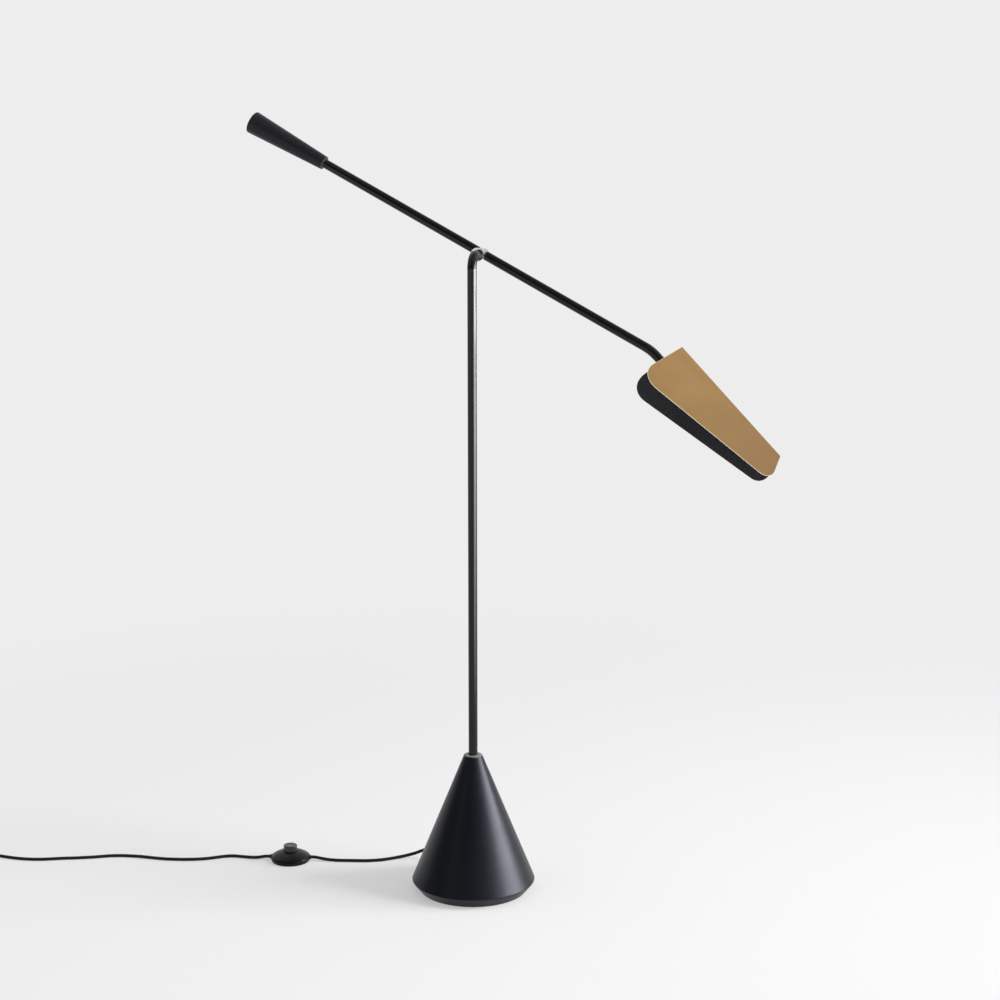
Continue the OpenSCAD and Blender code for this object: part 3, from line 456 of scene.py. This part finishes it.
# %% The coil beyond the picture's edge
COIL_AT = Vector((-0.950, -0.127, 0))
COIL_R, COIL_STEP, COIL_RISE, COIL_Z = 44 * mm, 7 * mm, 6.8 * mm, 3.8 * mm
TURNS_IN, TURNS_OUT, CLIMB, TURN_POINTS = 2.75, 2.5, 0.5, 24
PLUG_AWAY, PLUG_Z = 0.044, 0.0085


def coil_point(t):
    angle = radians(90 + 360 * t)
    radius = COIL_R - COIL_STEP * TURNS_IN + COIL_STEP * abs(t - TURNS_IN)
    climb = min(max((t - TURNS_IN + CLIMB / 2) / CLIMB, 0), 1)
    height = COIL_Z + COIL_RISE * climb * climb * (3 - 2 * climb)
    return COIL_AT + Vector((radius * cos(angle), radius * sin(angle), height))


wound = [coil_point(i / TURN_POINTS) for i in range(int(TURN_POINTS * (TURNS_IN + TURNS_OUT)) + 1)]
leave = wound[-1]
coil_start = COIL_AT + Vector((CORD_D, COIL_R, COIL_Z))
plug_at = Vector((leave.x, leave.y - PLUG_AWAY, PLUG_Z))
to_plug = [Vector((plug_at.x, leave.y - away, z)) for away, z in
           ((0.014, leave.z - 0.0004), (0.026, plug_at.z + 0.0008), (0.037, plug_at.z))]
print("turns in the coil:", TURNS_IN + TURNS_OUT, "points:", len(wound))

# %% [markdown]
# The stretch from the switch to the coil is in the picture, up to its left edge. At both ends it runs
# straight for a little, as a stiff lead does.

# %% Route from the switch to the plug
to_coil = [(-427, 31, 1.2), (-441, 30, 0.3), (-457, 30), (-474, 29), (-489, 23), (-503, 13), (-518, 3),
           (-535, -5), (-553, -11), (-571, -15), (-589, -18), (-607, -19), (-625, -19), (-643, -19),
           (-661, -21), (-678, -24), (-694, -29), (-709, -36), (-724, -44), (-740, -51), (-757, -58),
           (-774, -64), (-791, -71), (-807, -78), (-824, -83), (-842, -86), (-860, -87), (-878, -86),
           (-896, -84), (-914, -83, 0.3)]
COIL_LEAD = Vector((0.014, 0, 0))
switch_out = switch_entry - switch_way * SWITCH_SIDE
second_route = [switch_out, switch_out - switch_way * STRAIGHT, *on_floor(to_coil), coil_start + COIL_LEAD,
                coil_start, *wound, *to_plug, plug_at]
print("points on the way to the plug:", len(second_route))

# %% [markdown]
# Now both stretches are drawn. Handles could shape the curve, but they are two more points to place for each
# point of the route. Here each stretch between two points is a cubic that also looks at the points before and
# after, so the line is smooth. A curve object with a round bevel is the tube. The lead never goes under the
# floor, so its height is held at its own radius or more.

# %% Draw the two stretches of lead
LEAD_STEP = 0.0035


def smooth_line(points, step):
    line = []
    for i in range(len(points) - 1):
        a, b = points[max(i - 1, 0)], points[i]
        c, d = points[i + 1], points[min(i + 2, len(points) - 1)]
        count = max(2, round((c - b).length / step))
        for k in range(count):
            t = k / count
            line.append(0.5 * (2 * b + (c - a) * t + (2 * a - 5 * b + 4 * c - d) * t * t
                               + (3 * b - a - 3 * c + d) * t ** 3))
    line.append(points[-1])
    return [Vector((p.x, p.y, max(p.z, CORD_D / 2))) for p in line]


def lead(name, points):
    line = smooth_line(points, LEAD_STEP)
    curve = bpy.data.curves.new(name, "CURVE")
    curve.dimensions = "3D"
    curve.bevel_depth = CORD_D / 2
    curve.bevel_resolution = 4
    curve.use_fill_caps = True
    spline = curve.splines.new("POLY")
    spline.points.add(len(line) - 1)
    for place, p in zip(spline.points, line):
        place.co = (*p, 1)
    spline.use_smooth = True
    curve.materials.append(cord_rubber)
    piece = bpy.data.objects.new(name, curve)
    bpy.context.scene.collection.objects.link(piece)
    long = sum((b - a).length for a, b in zip(line, line[1:]))
    print(name, "is", round(long, 3), "m long")
    return piece, long


base_lead, base_long = lead("lead_base_to_switch", first_route)
plug_lead, plug_long = lead("lead_switch_to_plug", second_route)
for piece, stood_for in ((base_lead, ["cord_to_switch"]), (plug_lead, ["cord_to_coil", "cord_coil"])):
    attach(piece, "stand")
    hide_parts(*stood_for)

# %% [markdown]
# Many pieces begin as an outline or as half a section. A ready primitive could be bent into shape, but a line
# is plainer, and it is drawn as by hand: one vertex, extruded from place to place. Later steps act on what is
# selected, and with no hand to click, points, edges and faces are picked by their place.

# %% Draw a line and pick by place
def mode(kind):
    bpy.ops.object.mode_set(mode=kind)


def take_all():
    bpy.ops.mesh.select_all(action="SELECT")


def draw_line(points):
    clear()
    bpy.ops.mesh.primitive_plane_add(size=0.02)
    piece = bpy.context.active_object
    mode("EDIT")
    bpy.ops.mesh.select_mode(type="VERT")
    take_all()
    bpy.ops.mesh.merge(type="CENTER")
    bpy.ops.transform.translate(value=points[0])
    for a, b in zip(points, points[1:]):
        bpy.ops.mesh.extrude_vertices_move(TRANSFORM_OT_translate={"value": b - a})
    return piece


def pick(piece, kind, test):
    mode("EDIT")
    bpy.ops.mesh.select_mode(type=kind)
    bpy.ops.mesh.select_all(action="DESELECT")
    mode("OBJECT")
    mesh = piece.data
    for item in {"VERT": mesh.vertices, "EDGE": mesh.edges, "FACE": mesh.polygons}[kind]:
        item.select = test([item.co] if kind == "VERT" else [mesh.vertices[v].co for v in item.vertices])
    mode("EDIT")


print("drawing helpers: draw_line, pick")

# %% [markdown]
# The shade is one sheet of brass, cut to a tapered outline with two round corners on each side, and folded
# along its middle. It could start from a cube with its faces deleted, but a sheet begins as an outline, so
# one leaf is drawn flat and filled. Its free corners are rounded by a vertex bevel, whose offset is the
# corner's radius over the tangent of half its angle.

# %% One flat leaf
FOLD_TOP, FOLD_HALF = 47.81 * mm, radians(25.5)
WIDE_R, NARROW_R, CORNER_STEPS = 29.3 * mm, 22 * mm, 18


def down_leaf(z):
    return (z * mm - FOLD_TOP) / cos(FOLD_HALF)


wide_top, narrow_top = Vector((30 * mm, 0, 0)), Vector((279 * mm, 0, 0))
narrow_low, wide_low = Vector((299.5 * mm, 0, down_leaf(-6.5))), Vector((16 * mm, 0, down_leaf(-62.0)))
shade = draw_line([wide_top, narrow_top, narrow_low, wide_low])
shade.name = "shade_folded_sheet"
take_all()
bpy.ops.mesh.edge_face_add()
for corner, before, after, radius in ((wide_low, narrow_low, wide_top, WIDE_R),
                                      (narrow_low, narrow_top, wide_low, NARROW_R)):
    half = (before - corner).angle(after - corner) / 2
    pick(shade, "VERT", lambda points: (points[0] - corner).length < 0.0005)
    bpy.ops.mesh.bevel(offset=radius / tan(half), segments=CORNER_STEPS, affect="VERTICES")
mode("OBJECT")
print("leaf outline:", len(shade.data.vertices), "points")

# %% [markdown]
# The leaf is swung out from the fold, a mirror makes the other leaf, and a bevel along the fold is the bend.
# The fold could be left sharp, but sheet of this thickness bends round a small radius. The normals have to
# point outward at the end, because the sheet will get its thickness inward from them.

# %% Fold the sheet
FOLD_R = 2.5 * mm


def apply_modifier(piece, kind, **settings):
    modifier = piece.modifiers.new(kind.lower(), kind)
    for key, value in settings.items():
        setattr(modifier, key, value)
    bpy.ops.object.modifier_apply(modifier=modifier.name)


shade.rotation_euler = (-FOLD_HALF, 0, 0)
bpy.ops.object.transform_apply(location=False, rotation=True, scale=False)
apply_modifier(shade, "MIRROR", use_axis=(False, True, False), merge_threshold=0.00001)
pick(shade, "EDGE", lambda points: all(abs(p.y) < 0.00001 for p in points))
bpy.ops.mesh.bevel(offset=FOLD_R / tan(FOLD_HALF), segments=10, affect="EDGES")
mode("OBJECT")
if sum(f.normal.y * f.area for f in shade.data.polygons if f.center.y < 0) > 0:
    mode("EDIT")
    take_all()
    bpy.ops.mesh.flip_normals()
    mode("OBJECT")
print("bent sheet, still without thickness:", len(shade.data.polygons), "faces")

# %% [markdown]
# Both sides of the sheet could be drawn, but Solidify keeps its thickness even round the bend, and gives it
# three finishes: brushed brass outside, black paint inside, and bare brass painted pale as a highlight on the
# cut edge. A small bevel breaks the cut edges, and weighted normals keep the leaves flat. Every new piece
# rides on the body that carries it and stands for a CAD part, which is then hidden. Its place is applied to
# its mesh, so that its object sits at the origin as the CAD parts do.

# %% Thickness and place of the sheet
SHEET_T, CUT_BEVEL = 1.5 * mm, 0.4 * mm


def stand_in(piece, body, slot, finishes, *stood_for):
    for finish in finishes:
        piece.data.materials.append(finish)
    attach(piece, body)
    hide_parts(*stood_for)
    print(piece.name, "has", len(piece.data.polygons), "faces and stands for", *stood_for)


def set_down(piece, place, smooth=40):
    clear()
    piece.select_set(True)
    bpy.context.view_layer.objects.active = piece
    piece.matrix_world = place
    bpy.ops.object.transform_apply(location=True, rotation=True, scale=True)
    bpy.ops.object.shade_smooth_by_angle(angle=radians(smooth))
    return piece


stand_in(shade, "shade", "shade_brass", [shade_brass, inside_paint, cut_brass_painted_bright], "shade_sheet")
apply_modifier(shade, "SOLIDIFY", thickness=SHEET_T, offset=-1, use_even_offset=True, material_offset=1,
               material_offset_rim=2)
apply_modifier(shade, "BEVEL", width=CUT_BEVEL, segments=3, limit_method="ANGLE",
               angle_limit=radians(50), material=2)
set_down(shade, at_shade @ Matrix.Translation((0, 0, FOLD_TOP)), smooth=25)
apply_modifier(shade, "WEIGHTED_NORMAL", keep_sharp=True, weight=100)
print("folded sheet:", len(shade.data.polygons), "faces")

# %% [markdown]
# Many pieces were turned on a lathe or moulded in a round tool. A cylinder could be bevelled into each, but
# it is plainer to draw half a section and spin it about its axis, as the lathe does. A section is a list of
# radius and distance along the axis, in millimetres. Spin leaves a seam where the last step meets the first,
# so the doubles are merged before the normals are made to point outward.

# %% The lathe
def turned(name, profile, place, steps=72, smooth=40):
    piece = draw_line([Vector((r * mm, 0, along * mm)) for r, along in profile])
    piece.name = name
    take_all()
    bpy.ops.mesh.spin(steps=steps, angle=2 * pi, center=(0, 0, 0), axis=(0, 0, 1))
    take_all()
    bpy.ops.mesh.remove_doubles(threshold=0.000004)
    bpy.ops.mesh.normals_make_consistent(inside=False)
    mode("OBJECT")
    return set_down(piece, place, smooth)


print("the lathe is", turned.__name__)

# %% [markdown]
# The foot switch is two moulded shells with a push button in the middle. The cover is a shallow dome with a
# round shoulder: two arcs that meet without a corner, outside and inside. A flattened sphere would come
# close, but its wall and its shoulder would be off. The lower edge and the hole round the button are
# softened, so that the parting line and the button's gap read as thin dark lines.

# %% Switch cover
CROWN_R, CROWN_Z, CROWN_STEPS = 59.6125, -38.6125, 18
SHOULDER_R, SHOULDER_STEPS = 5.0, 9
SWITCH_R, SHELL_H, SWITCH_WALL, HOLE_R = 36.5, 6.0, 2.2, 12.8
EDGE_CUT, LIP_IN, LIP_DROP, LIP_WALL = 0.5, 0.35, 0.05, 0.6
meet = atan2(SHELL_H - CROWN_Z, SWITCH_R - SHOULDER_R)


def arc(radius, centre_r, centre_z, angles):
    return [Vector((centre_r + radius * cos(a), centre_z + radius * sin(a))) for a in angles]


def dome(inset):
    last = acos(HOLE_R / (CROWN_R - inset))
    shoulder = arc(SHOULDER_R - inset, SWITCH_R - SHOULDER_R, SHELL_H,
                   [meet * k / SHOULDER_STEPS for k in range(SHOULDER_STEPS)])
    crown = arc(CROWN_R - inset, 0, CROWN_Z,
                [meet + (last - meet) * k / CROWN_STEPS for k in range(CROWN_STEPS + 1)])
    return shoulder + crown


outside, inside = dome(0), dome(SWITCH_WALL)
lower_edge = [Vector((SWITCH_R - EDGE_CUT, SHELL_H)), Vector((SWITCH_R, SHELL_H + EDGE_CUT))]
outside = lower_edge + outside[2:-1]
lip = [outside[-1] + Vector((-LIP_IN, -LIP_DROP)), Vector((HOLE_R, outside[-1].y - LIP_WALL))]
section = outside + lip + inside[::-1] + outside[:1]
cover = turned("switch_dome", section, at_switch, steps=96, smooth=30)
stand_in(cover, "stand", "switch_plastic", [switch_plastic], "switch_cover")

# %% [markdown]
# The button is pressed with the foot, so its top is slightly dished, with a soft rim. It is hollow
# underneath, where the return spring sits, and a flange keeps it under the dome. Its corners could be
# bevelled after the spin. It is easier to round them in the section, where each row has the corner's radius
# as a third number.

# %% Push button
def rounded(corners, steps=6):
    line = []
    for i, (r, along, radius) in enumerate(corners):
        corner = Vector((r, along))
        if radius == 0:
            line.append(corner)
            continue
        before = (Vector(corners[i - 1][:2]) - corner).normalized()
        after = (Vector(corners[i + 1][:2]) - corner).normalized()
        half = before.angle(after) / 2
        centre = corner + (before + after).normalized() * radius / sin(half)
        start = corner + before * radius / tan(half) - centre
        end = corner + after * radius / tan(half) - centre
        swing = start.angle(end)
        line += [centre + (start * sin(swing * (1 - k / steps)) + end * sin(swing * k / steps))
                 / sin(swing) for k in range(steps + 1)]
    return line


section = rounded([(0, 18.2, 0), (6, 18.2, 0), (6, 15.2, 0), (14.1, 15.2, 0.3), (14.1, 16.7, 0.3),
                   (12.5, 16.7, 0), (12.5, 30, 1.5), (9.8, 30, 0.9), (8.6, 29.3, 1.2), (0, 29.1, 0)])
button = turned("switch_push_button", section, at_switch, smooth=35)
stand_in(button, "button", "button_plastic", [button_plastic], "switch_button")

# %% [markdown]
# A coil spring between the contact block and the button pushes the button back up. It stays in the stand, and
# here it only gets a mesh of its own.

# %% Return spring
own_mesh(nodes["switch_spring"])

# %% [markdown]
# Where the lead leaves the base, a rubber strain relief keeps it from kinking. It is a taper with ring
# grooves that let it bend. The grooves could be cut with a boolean, but in a section they are only a few more
# rows. They repeat, and so do the rings of other pieces, so one helper repeats the rows of one ring.

# %% Strain relief
GLAND_BORE, GLAND_R, GLAND_SEAT, GLAND_END = 3.05, 5.5, 94, 138


def rings(count, start, step, wide, taper, rows):
    return [(wide + taper * k + r, start + step * k + along, radius)
            for k in range(count) for r, along, radius in rows]


at_gland = Matrix.Translation((0, 0, GLAND_Z)) @ Matrix.Rotation(GLAND_TURN, 4, "Z") @ Z_TO_X
section = [(GLAND_BORE, GLAND_SEAT, 0), (GLAND_R, GLAND_SEAT, 0), (GLAND_R, 112.4, 0.4)]
section += rings(6, 113.2, 3.9, 5.35, -0.225,
                 [(-1.0, -0.5, 0.25), (-1.0, 0.5, 0.25), (0, 0.7, 0.3), (-0.15, 3.2, 0.3)])
section += [(4.0, 137.6, 0.3), (3.6, GLAND_END, 0), (GLAND_BORE, GLAND_END, 0), (GLAND_BORE, GLAND_SEAT, 0)]
gland = turned("strain_relief", rounded(section, 3), at_gland, steps=48)
stand_in(gland, "stand", "rubber_black", [gland_rubber], "cord_gland")

# %% [markdown]
# Under the shade, the lamp holder is a moulded sleeve on the arm's end. A plain tube would fill its place,
# but ring grooves for the fingers and a stepped neck make it a lamp holder. It is turned about the arm's end,
# so its section runs along that axis: the neck, the grooved sleeve, and back through the bore.

# %% Lamp holder
NECK_BORE, NECK_R, SLEEVE_BORE, SLEEVE_R = 5.05, 9, 10.5, 13.5
HOLDER_START, HOLDER_FLOOR, HOLDER_MOUTH = 50.9, 65.9, 96.9
at_holder = at_end @ Z_TO_X
section = [(NECK_BORE, HOLDER_START, 0), (8.4, HOLDER_START, 0), (NECK_R, 51.5, 0.4), (NECK_R, 60.9, 0.6),
           (12.5, 62.9, 0.5), (SLEEVE_R, 63.9, 0.5)]
section += rings(4, 74, 4.6, SLEEVE_R, 0, [(0, 0, 0.3), (-0.7, 0.5, 0.3), (-0.7, 1.7, 0.3), (0, 2.2, 0.3)])
section += [(SLEEVE_R, HOLDER_MOUTH, 0.7), (SLEEVE_BORE, HOLDER_MOUTH, 0.4), (SLEEVE_BORE, HOLDER_FLOOR, 0),
            (NECK_BORE, HOLDER_FLOOR, 0), (NECK_BORE, HOLDER_START, 0)]
holder = turned("lamp_holder_sleeve", rounded(section, 4), at_holder, steps=64)
stand_in(holder, "arm", "holder_plastic", [holder_plastic], "lamp_holder")

# %% [markdown]
# The bulb screws into the holder. Its cap has the rounded thread of a small screw cap. A screw modifier could
# cut a real helix, but so deep in the holder nobody can tell it from five round crests. The glass is a candle
# bulb, whose long curve comes from a few corners with large radii.

# %% Screw cap and bulb
CAP_R, CAP_START, CAP_END = 7.2, 67.4, 88.4
section = [(0, CAP_START, 0), (2.6, CAP_START, 0.4), (3, 68.9, 0.3), (6.2, 70.4, 0.4)]
section += rings(5, 71.4, 2.8, 6.4, 0, [(0, 0, 0.6), (0.75, 1.4, 0.7)])
section += [(6.4, 85.4, 0.6), (CAP_R, 86.2, 0.3), (CAP_R, CAP_END, 0), (0, CAP_END, 0)]
cap = turned("bulb_screw_cap", rounded(section, 4), at_holder, steps=48, smooth=50)
stand_in(cap, "arm", "nickel", [nickel], "bulb_cap")
section = rounded([(0, CAP_END, 0), (CAP_R, CAP_END, 0), (CAP_R, 96.9, 4), (12.5, 110, 12), (12.5, 137, 14),
                   (5.5, 152, 8), (3.0, 160.2, 2.0), (0, 160.4, 0)], 10)
bulb = turned("bulb_candle_glass", section, at_holder, steps=64, smooth=60)
stand_in(bulb, "arm", "opal_glass", [opal_glass], "bulb_glass")

# %% [markdown]
# The plug is moulded onto the lead. Its body is a box with heavily rounded edges and a grip of three grooves
# all round it. The grooves could be separate cutters, but they are quick to make from the box itself: a cube
# has its edges bevelled, is cut across at each groove's sides, and the strips between the cuts are pushed in.

# %% Plug body
PLUG_SIZE, PLUG_CENTRE = Vector((30, 25, 17)) * mm, 35 * mm
SIDE_R, GROOVE_DEPTH, EDGE_R = 5 * mm, 0.7 * mm, 0.25 * mm
GROOVES = ((25, 26.6), (29.4, 31), (33.8, 35.4))
NEARLY = 1e-6


def in_groove(p):
    return any(low * mm - NEARLY <= p.x <= high * mm + NEARLY for low, high in GROOVES)


clear()
bpy.ops.mesh.primitive_cube_add(size=1)
plug = bpy.context.active_object
plug.name = "plug_moulded_body"
plug.dimensions = PLUG_SIZE
plug.location = (PLUG_CENTRE, 0, 0)
bpy.ops.object.transform_apply(location=True, rotation=False, scale=True)
mode("EDIT")
bpy.ops.mesh.select_mode(type="EDGE")
take_all()
bpy.ops.mesh.bevel(offset=SIDE_R, segments=6, affect="EDGES")
for cut in sum(GROOVES, ()):
    take_all()
    bpy.ops.mesh.bisect(plane_co=(cut * mm, 0, 0), plane_no=(1, 0, 0))
mode("OBJECT")
pick(plug, "FACE", lambda points: all(in_groove(p) for p in points))
bpy.ops.mesh.extrude_region_shrink_fatten(TRANSFORM_OT_shrink_fatten={"value": -GROOVE_DEPTH})
take_all()
bpy.ops.mesh.normals_make_consistent(inside=False)
mode("OBJECT")
apply_modifier(plug, "BEVEL", width=EDGE_R, segments=2, limit_method="ANGLE", angle_limit=radians(40))
at_plug = Matrix.Translation(plug_at) @ Matrix.Rotation(radians(-90), 4, "Z")
set_down(plug, at_plug, smooth=35)
print("plug body:", len(plug.data.polygons), "faces")

# %% [markdown]
# The plug's tail is a ribbed taper that keeps the lead from kinking, moulded in one with the body. It is
# turned as the strain relief is. Then it is joined to the body, because the two are one moulding.

# %% Plug tail
TAIL_END = 19.9
section = [(0, 0, 0), (3.6, 0, 0), (4.0, 0.5, 0)]
section += rings(4, 2.0, 4.4, 4.2, 0.46, [(0, 0, 0.3), (-0.9, 0.4, 0.2), (-0.9, 1.4, 0.2), (0.2, 1.8, 0.3)])
section += [(6.1, TAIL_END, 0), (0, TAIL_END, 0)]
tail = turned("plug_tail", rounded(section, 3), at_plug @ Z_TO_X, steps=40)
clear()
tail.select_set(True)
plug.select_set(True)
bpy.context.view_layer.objects.active = plug
bpy.ops.object.join()
stand_in(plug, "stand", "switch_plastic", [switch_plastic], "plug_body")

# %% [markdown]
# Every other CAD part keeps its shape and gets the finish of the real piece. A line for each part would do,
# but a table from finish to parts shows at a glance what is made of the same stuff.

# %% Finishes of the CAD parts
finish_of = {
    cone_paint: ["base_cone"], ballast_stone: ["ballast"], plate_paint: ["base_plate"], felt: ["felt_pad"],
    tube_paint: ["post_tube", "arm_tube_back", "arm_tube_front"], weight_paint: ["counterweight"],
    steel: ["plate_screws", "base_washer", "pivot_bush", "pivot_stud", "pivot_spring_washer", "clamp_screw",
            "shade_spring_washer", "switch_spring", "switch_screws"],
    nickel: ["pivot_washer", "pivot_cap", "arm_hub", "bulb_cap"],
    brass_fitting: ["post_nipple", "base_nut", "shade_bush", "shade_nipple", "screw_shell", "plug_blades"],
    cord_rubber: ["base_lead", "arm_lead", "cord_to_switch", "cord_to_coil", "cord_coil"],
    gland_rubber: ["cord_gland", "switch_bushings"], fibre_washer: ["shade_washer"],
    holder_plastic: ["lamp_holder"], opal_glass: ["bulb_glass"], shade_brass: ["shade_sheet"],
    inside_paint: ["shade_bracket"], switch_plastic: ["switch_base", "switch_cover", "plug_body"],
    button_plastic: ["switch_button"], block_plastic: ["switch_block"], tie_plastic: ["coil_tie"]}
for material, names in finish_of.items():
    for name in names:
        nodes[name].data.materials.clear()
        nodes[name].data.materials.append(material)
print("finished CAD parts:", sum(len(names) for names in finish_of.values()))

# %% [markdown]
# The two stretches together give the lead's whole length.

print("lead in all:", round(base_long + plug_long, 2), "m")

# %% [markdown]
# The stage is a wide pale floor with nothing behind it, so that the lamp can be seen from every side. A
# curved backdrop would hide the horizon from the front only. The floor is a disc so wide that its edge is
# lost.

# %% Floor
FLOOR_R = 40
clear()
bpy.ops.mesh.primitive_circle_add(vertices=96, radius=FLOOR_R, fill_type="NGON")
floor = bpy.context.active_object
floor.name = "studio_floor"
print("floor:", len(floor.data.polygons), "face")

# %% [markdown]
# Near the lamp the paper on the floor is lit and keeps the shadow. Farther out it turns into the even tone of
# the sky behind it, and no edge shows between the two. This is what the camera, mirrors and glass see. For
# all other rays the paper is plain, so that it bounces light as a pale floor does.

# %% Pale paper for the floor
PALE, NEAR_LIT, NEAR_EVEN = 0.85, 0.60, 0.39
NEAR, FAR = 0.4, 2.4
paper, tree, plain, place = start_material("pale_paper")
feed(tree, plain, {"Base Color": (0.80,) * 3, "Roughness": 0.9, "Specular IOR Level": 0.1})
reach = add_node(tree, "ShaderNodeVectorMath", {0: place}, operation="LENGTH")["Value"]
outward = ramp(tree, reach, NEAR, FAR, kind="SMOOTHSTEP")
lit = mix_colour(tree, outward, (NEAR_LIT,) * 3, (0.0,) * 3)
even = mix_colour(tree, outward, (NEAR_EVEN,) * 3, (PALE,) * 3)
both = add_node(tree, "ShaderNodeAddShader", {
    0: add_node(tree, "ShaderNodeBsdfDiffuse", {"Color": lit})[0],
    1: add_node(tree, "ShaderNodeEmission", {"Color": even})[0]})[0]
rays = add_node(tree, "ShaderNodeLightPath", {})
looked_at = maths(tree, "MAXIMUM", rays["Is Camera Ray"],
                  maths(tree, "MAXIMUM", rays["Is Glossy Ray"], rays["Is Transmission Ray"]))
either = add_node(tree, "ShaderNodeMixShader", {0: looked_at, 1: plain.outputs[0], 2: both})[0]
feed(tree, tree.nodes["Material Output"], {"Surface": either})
floor.data.materials.append(paper)
print("paper:", paper.name, "with", len(tree.nodes), "nodes")

# %% [markdown]
# The light is soft studio light from the right. A sun lamp would be simpler, but gloss shows the shape of
# what lights it, so the lights are panels. A broad one on the right lays the wide highlight on the cone. A
# small key high above it throws the soft shadow, and isn't mirrored. One high on the right lights the brass,
# a low one on the left draws the edges of the tubes, a small one is for the nickel washer to mirror, and a
# wide one hangs above.

# %% Light
def window(name, place, target, width, height, watts, mirrored=True):
    clear()
    bpy.ops.object.light_add(type="AREA", location=place)
    lamp = bpy.context.active_object
    lamp.name = name
    lamp.data.shape = "RECTANGLE"
    lamp.data.size, lamp.data.size_y = width, height
    lamp.data.energy = watts
    lamp.visible_camera = False
    lamp.visible_glossy = mirrored
    lamp.rotation_euler = (Vector(target) - Vector(place)).to_track_quat("-Z", "Y").to_euler()
    return lamp


broad = window("window_right", place=(6.5, 0.0, 1.35), target=(5.5, -1.0, 1.35), width=5.8, height=2.4,
               watts=730)
window("key_right", place=(10.0, 0.5, 7.3), target=(0, 0, 0.1), width=2.4, height=2.4, watts=400,
       mirrored=False)
window("high_right", place=(2.33, 0.56, 2.70), target=(0.42, 0.06, 0.87), width=2.4, height=2.4, watts=8.5)
window("low_left", place=(-1.56, -2.54, 0.9), target=(0, 0, 0.9), width=0.8, height=1.6, watts=2.0)
window("soft_top", place=(-2.4, -0.9, 3.4), target=(-0.6, 0.1, 0), width=5.0, height=5.0, watts=34)
window("pivot_glint", place=(-0.85, -2.85, 0.92), target=(0, 0.04, 1.131), width=0.45, height=0.45, watts=0.5)

# %% [markdown]
# The post is seen from above, so it mirrors what is low on the right, and its long highlight fades slowly
# toward the floor. An area light is even all over, so a sloping sheet that glows more toward its far, upper
# end stands there to be mirrored. It is hidden from the camera, and it neither lights nor shades anything
# else.

# %% Panel for the post to mirror
PANEL_NEAR, PANEL_FAR, PANEL_LOW, PANEL_HIGH = 1.2, 4.0, 0.002, 0.85
GLOW_NEAR, GLOW_FAR = 2.2, 25.0
panel = draw_line([Vector((PANEL_NEAR, -1.15, PANEL_LOW)), Vector((PANEL_FAR, -2.3, PANEL_HIGH)),
                   Vector((PANEL_FAR, 2.6, PANEL_HIGH)), Vector((PANEL_NEAR, -0.05, PANEL_LOW))])
panel.name = "post_panel"
take_all()
bpy.ops.mesh.edge_face_add()
mode("OBJECT")
panel.visible_camera = panel.visible_diffuse = panel.visible_shadow = False

glow, tree, _, place = start_material("panel_glow")
strength = ramp(tree, axis(tree, place, "X"), PANEL_NEAR, PANEL_FAR, GLOW_NEAR, GLOW_FAR)
see_through = add_node(tree, "ShaderNodeAddShader", {
    0: add_node(tree, "ShaderNodeEmission", {"Strength": strength})[0],
    1: add_node(tree, "ShaderNodeBsdfTransparent", {})[0]})[0]
feed(tree, tree.nodes["Material Output"], {"Surface": see_through})
panel.data.materials.append(glow)
print("panel:", len(panel.data.polygons), "face")

# %% [markdown]
# Black paint mirrors little and needs such bright panels. Brass would turn white in them when the arm tilts,
# and so would the arm when it is seen from its far end. Dimmer panels would lose the highlights on the post
# and the cone, so light linking shields the shade and the arm from the two brightest.

# %% Shield the shade and the arm
shielded = bpy.data.collections.new("shielded_from_the_window")
for piece in (shade, nodes["arm_tube_back"], nodes["arm_tube_front"], nodes["counterweight"]):
    shielded.objects.link(piece)
for item in shielded.collection_objects:
    item.light_linking.link_state = "EXCLUDE"
for bright in (broad, panel):
    bright.light_linking.receiver_collection = shielded

# %% [markdown]
# The sky is a pale backdrop to the eye. An even sky would also be the light, and then black paint would
# mirror it all round and turn grey. So metal and gloss mirror the backdrop only behind the lamp, and in front
# of it a dimmer room, which is brighter on the side of the light.

# %% Sky
ROOM_SIDE, ROOM_DIM, ROOM_BRIGHT = (0.88, 0.30, 0.36), 0.10, 0.50
BEHIND = (-sin(radians(CAMERA_SWING)), cos(radians(CAMERA_SWING)), 0)
world = bpy.data.worlds.new("even_sky")
world.use_nodes = True
tree = world.node_tree
sky = tree.nodes["Background"]
feed(tree, sky, {"Color": (1, 1, 1)})
way = add_node(tree, "ShaderNodeTexCoord", {})["Generated"]


def along(direction, *limits, kind="LINEAR"):
    toward = add_node(tree, "ShaderNodeVectorMath", {0: way, 1: direction}, operation="DOT_PRODUCT")
    return ramp(tree, toward["Value"], *limits, kind=kind)


def toward_pale(level, share):
    return maths(tree, "ADD", level, maths(tree, "MULTIPLY", share, maths(tree, "SUBTRACT", PALE, level)))


room = along(ROOM_SIDE, -0.2, 1.0, ROOM_DIM, ROOM_BRIGHT)
backdrop = along(BEHIND, 0.15, 0.40, kind="SMOOTHSTEP")
rays = add_node(tree, "ShaderNodeLightPath", {})
direct = maths(tree, "MAXIMUM", rays["Is Camera Ray"], rays["Is Transmission Ray"])
mirrored = maths(tree, "MULTIPLY", rays["Is Glossy Ray"], backdrop)
feed(tree, sky, {"Strength": toward_pale(room, maths(tree, "MAXIMUM", direct, mirrored))})
bpy.context.scene.world = world
bpy.context.scene.view_settings.view_transform = "Standard"
print("sky:", world.name, "with", len(tree.nodes), "nodes")
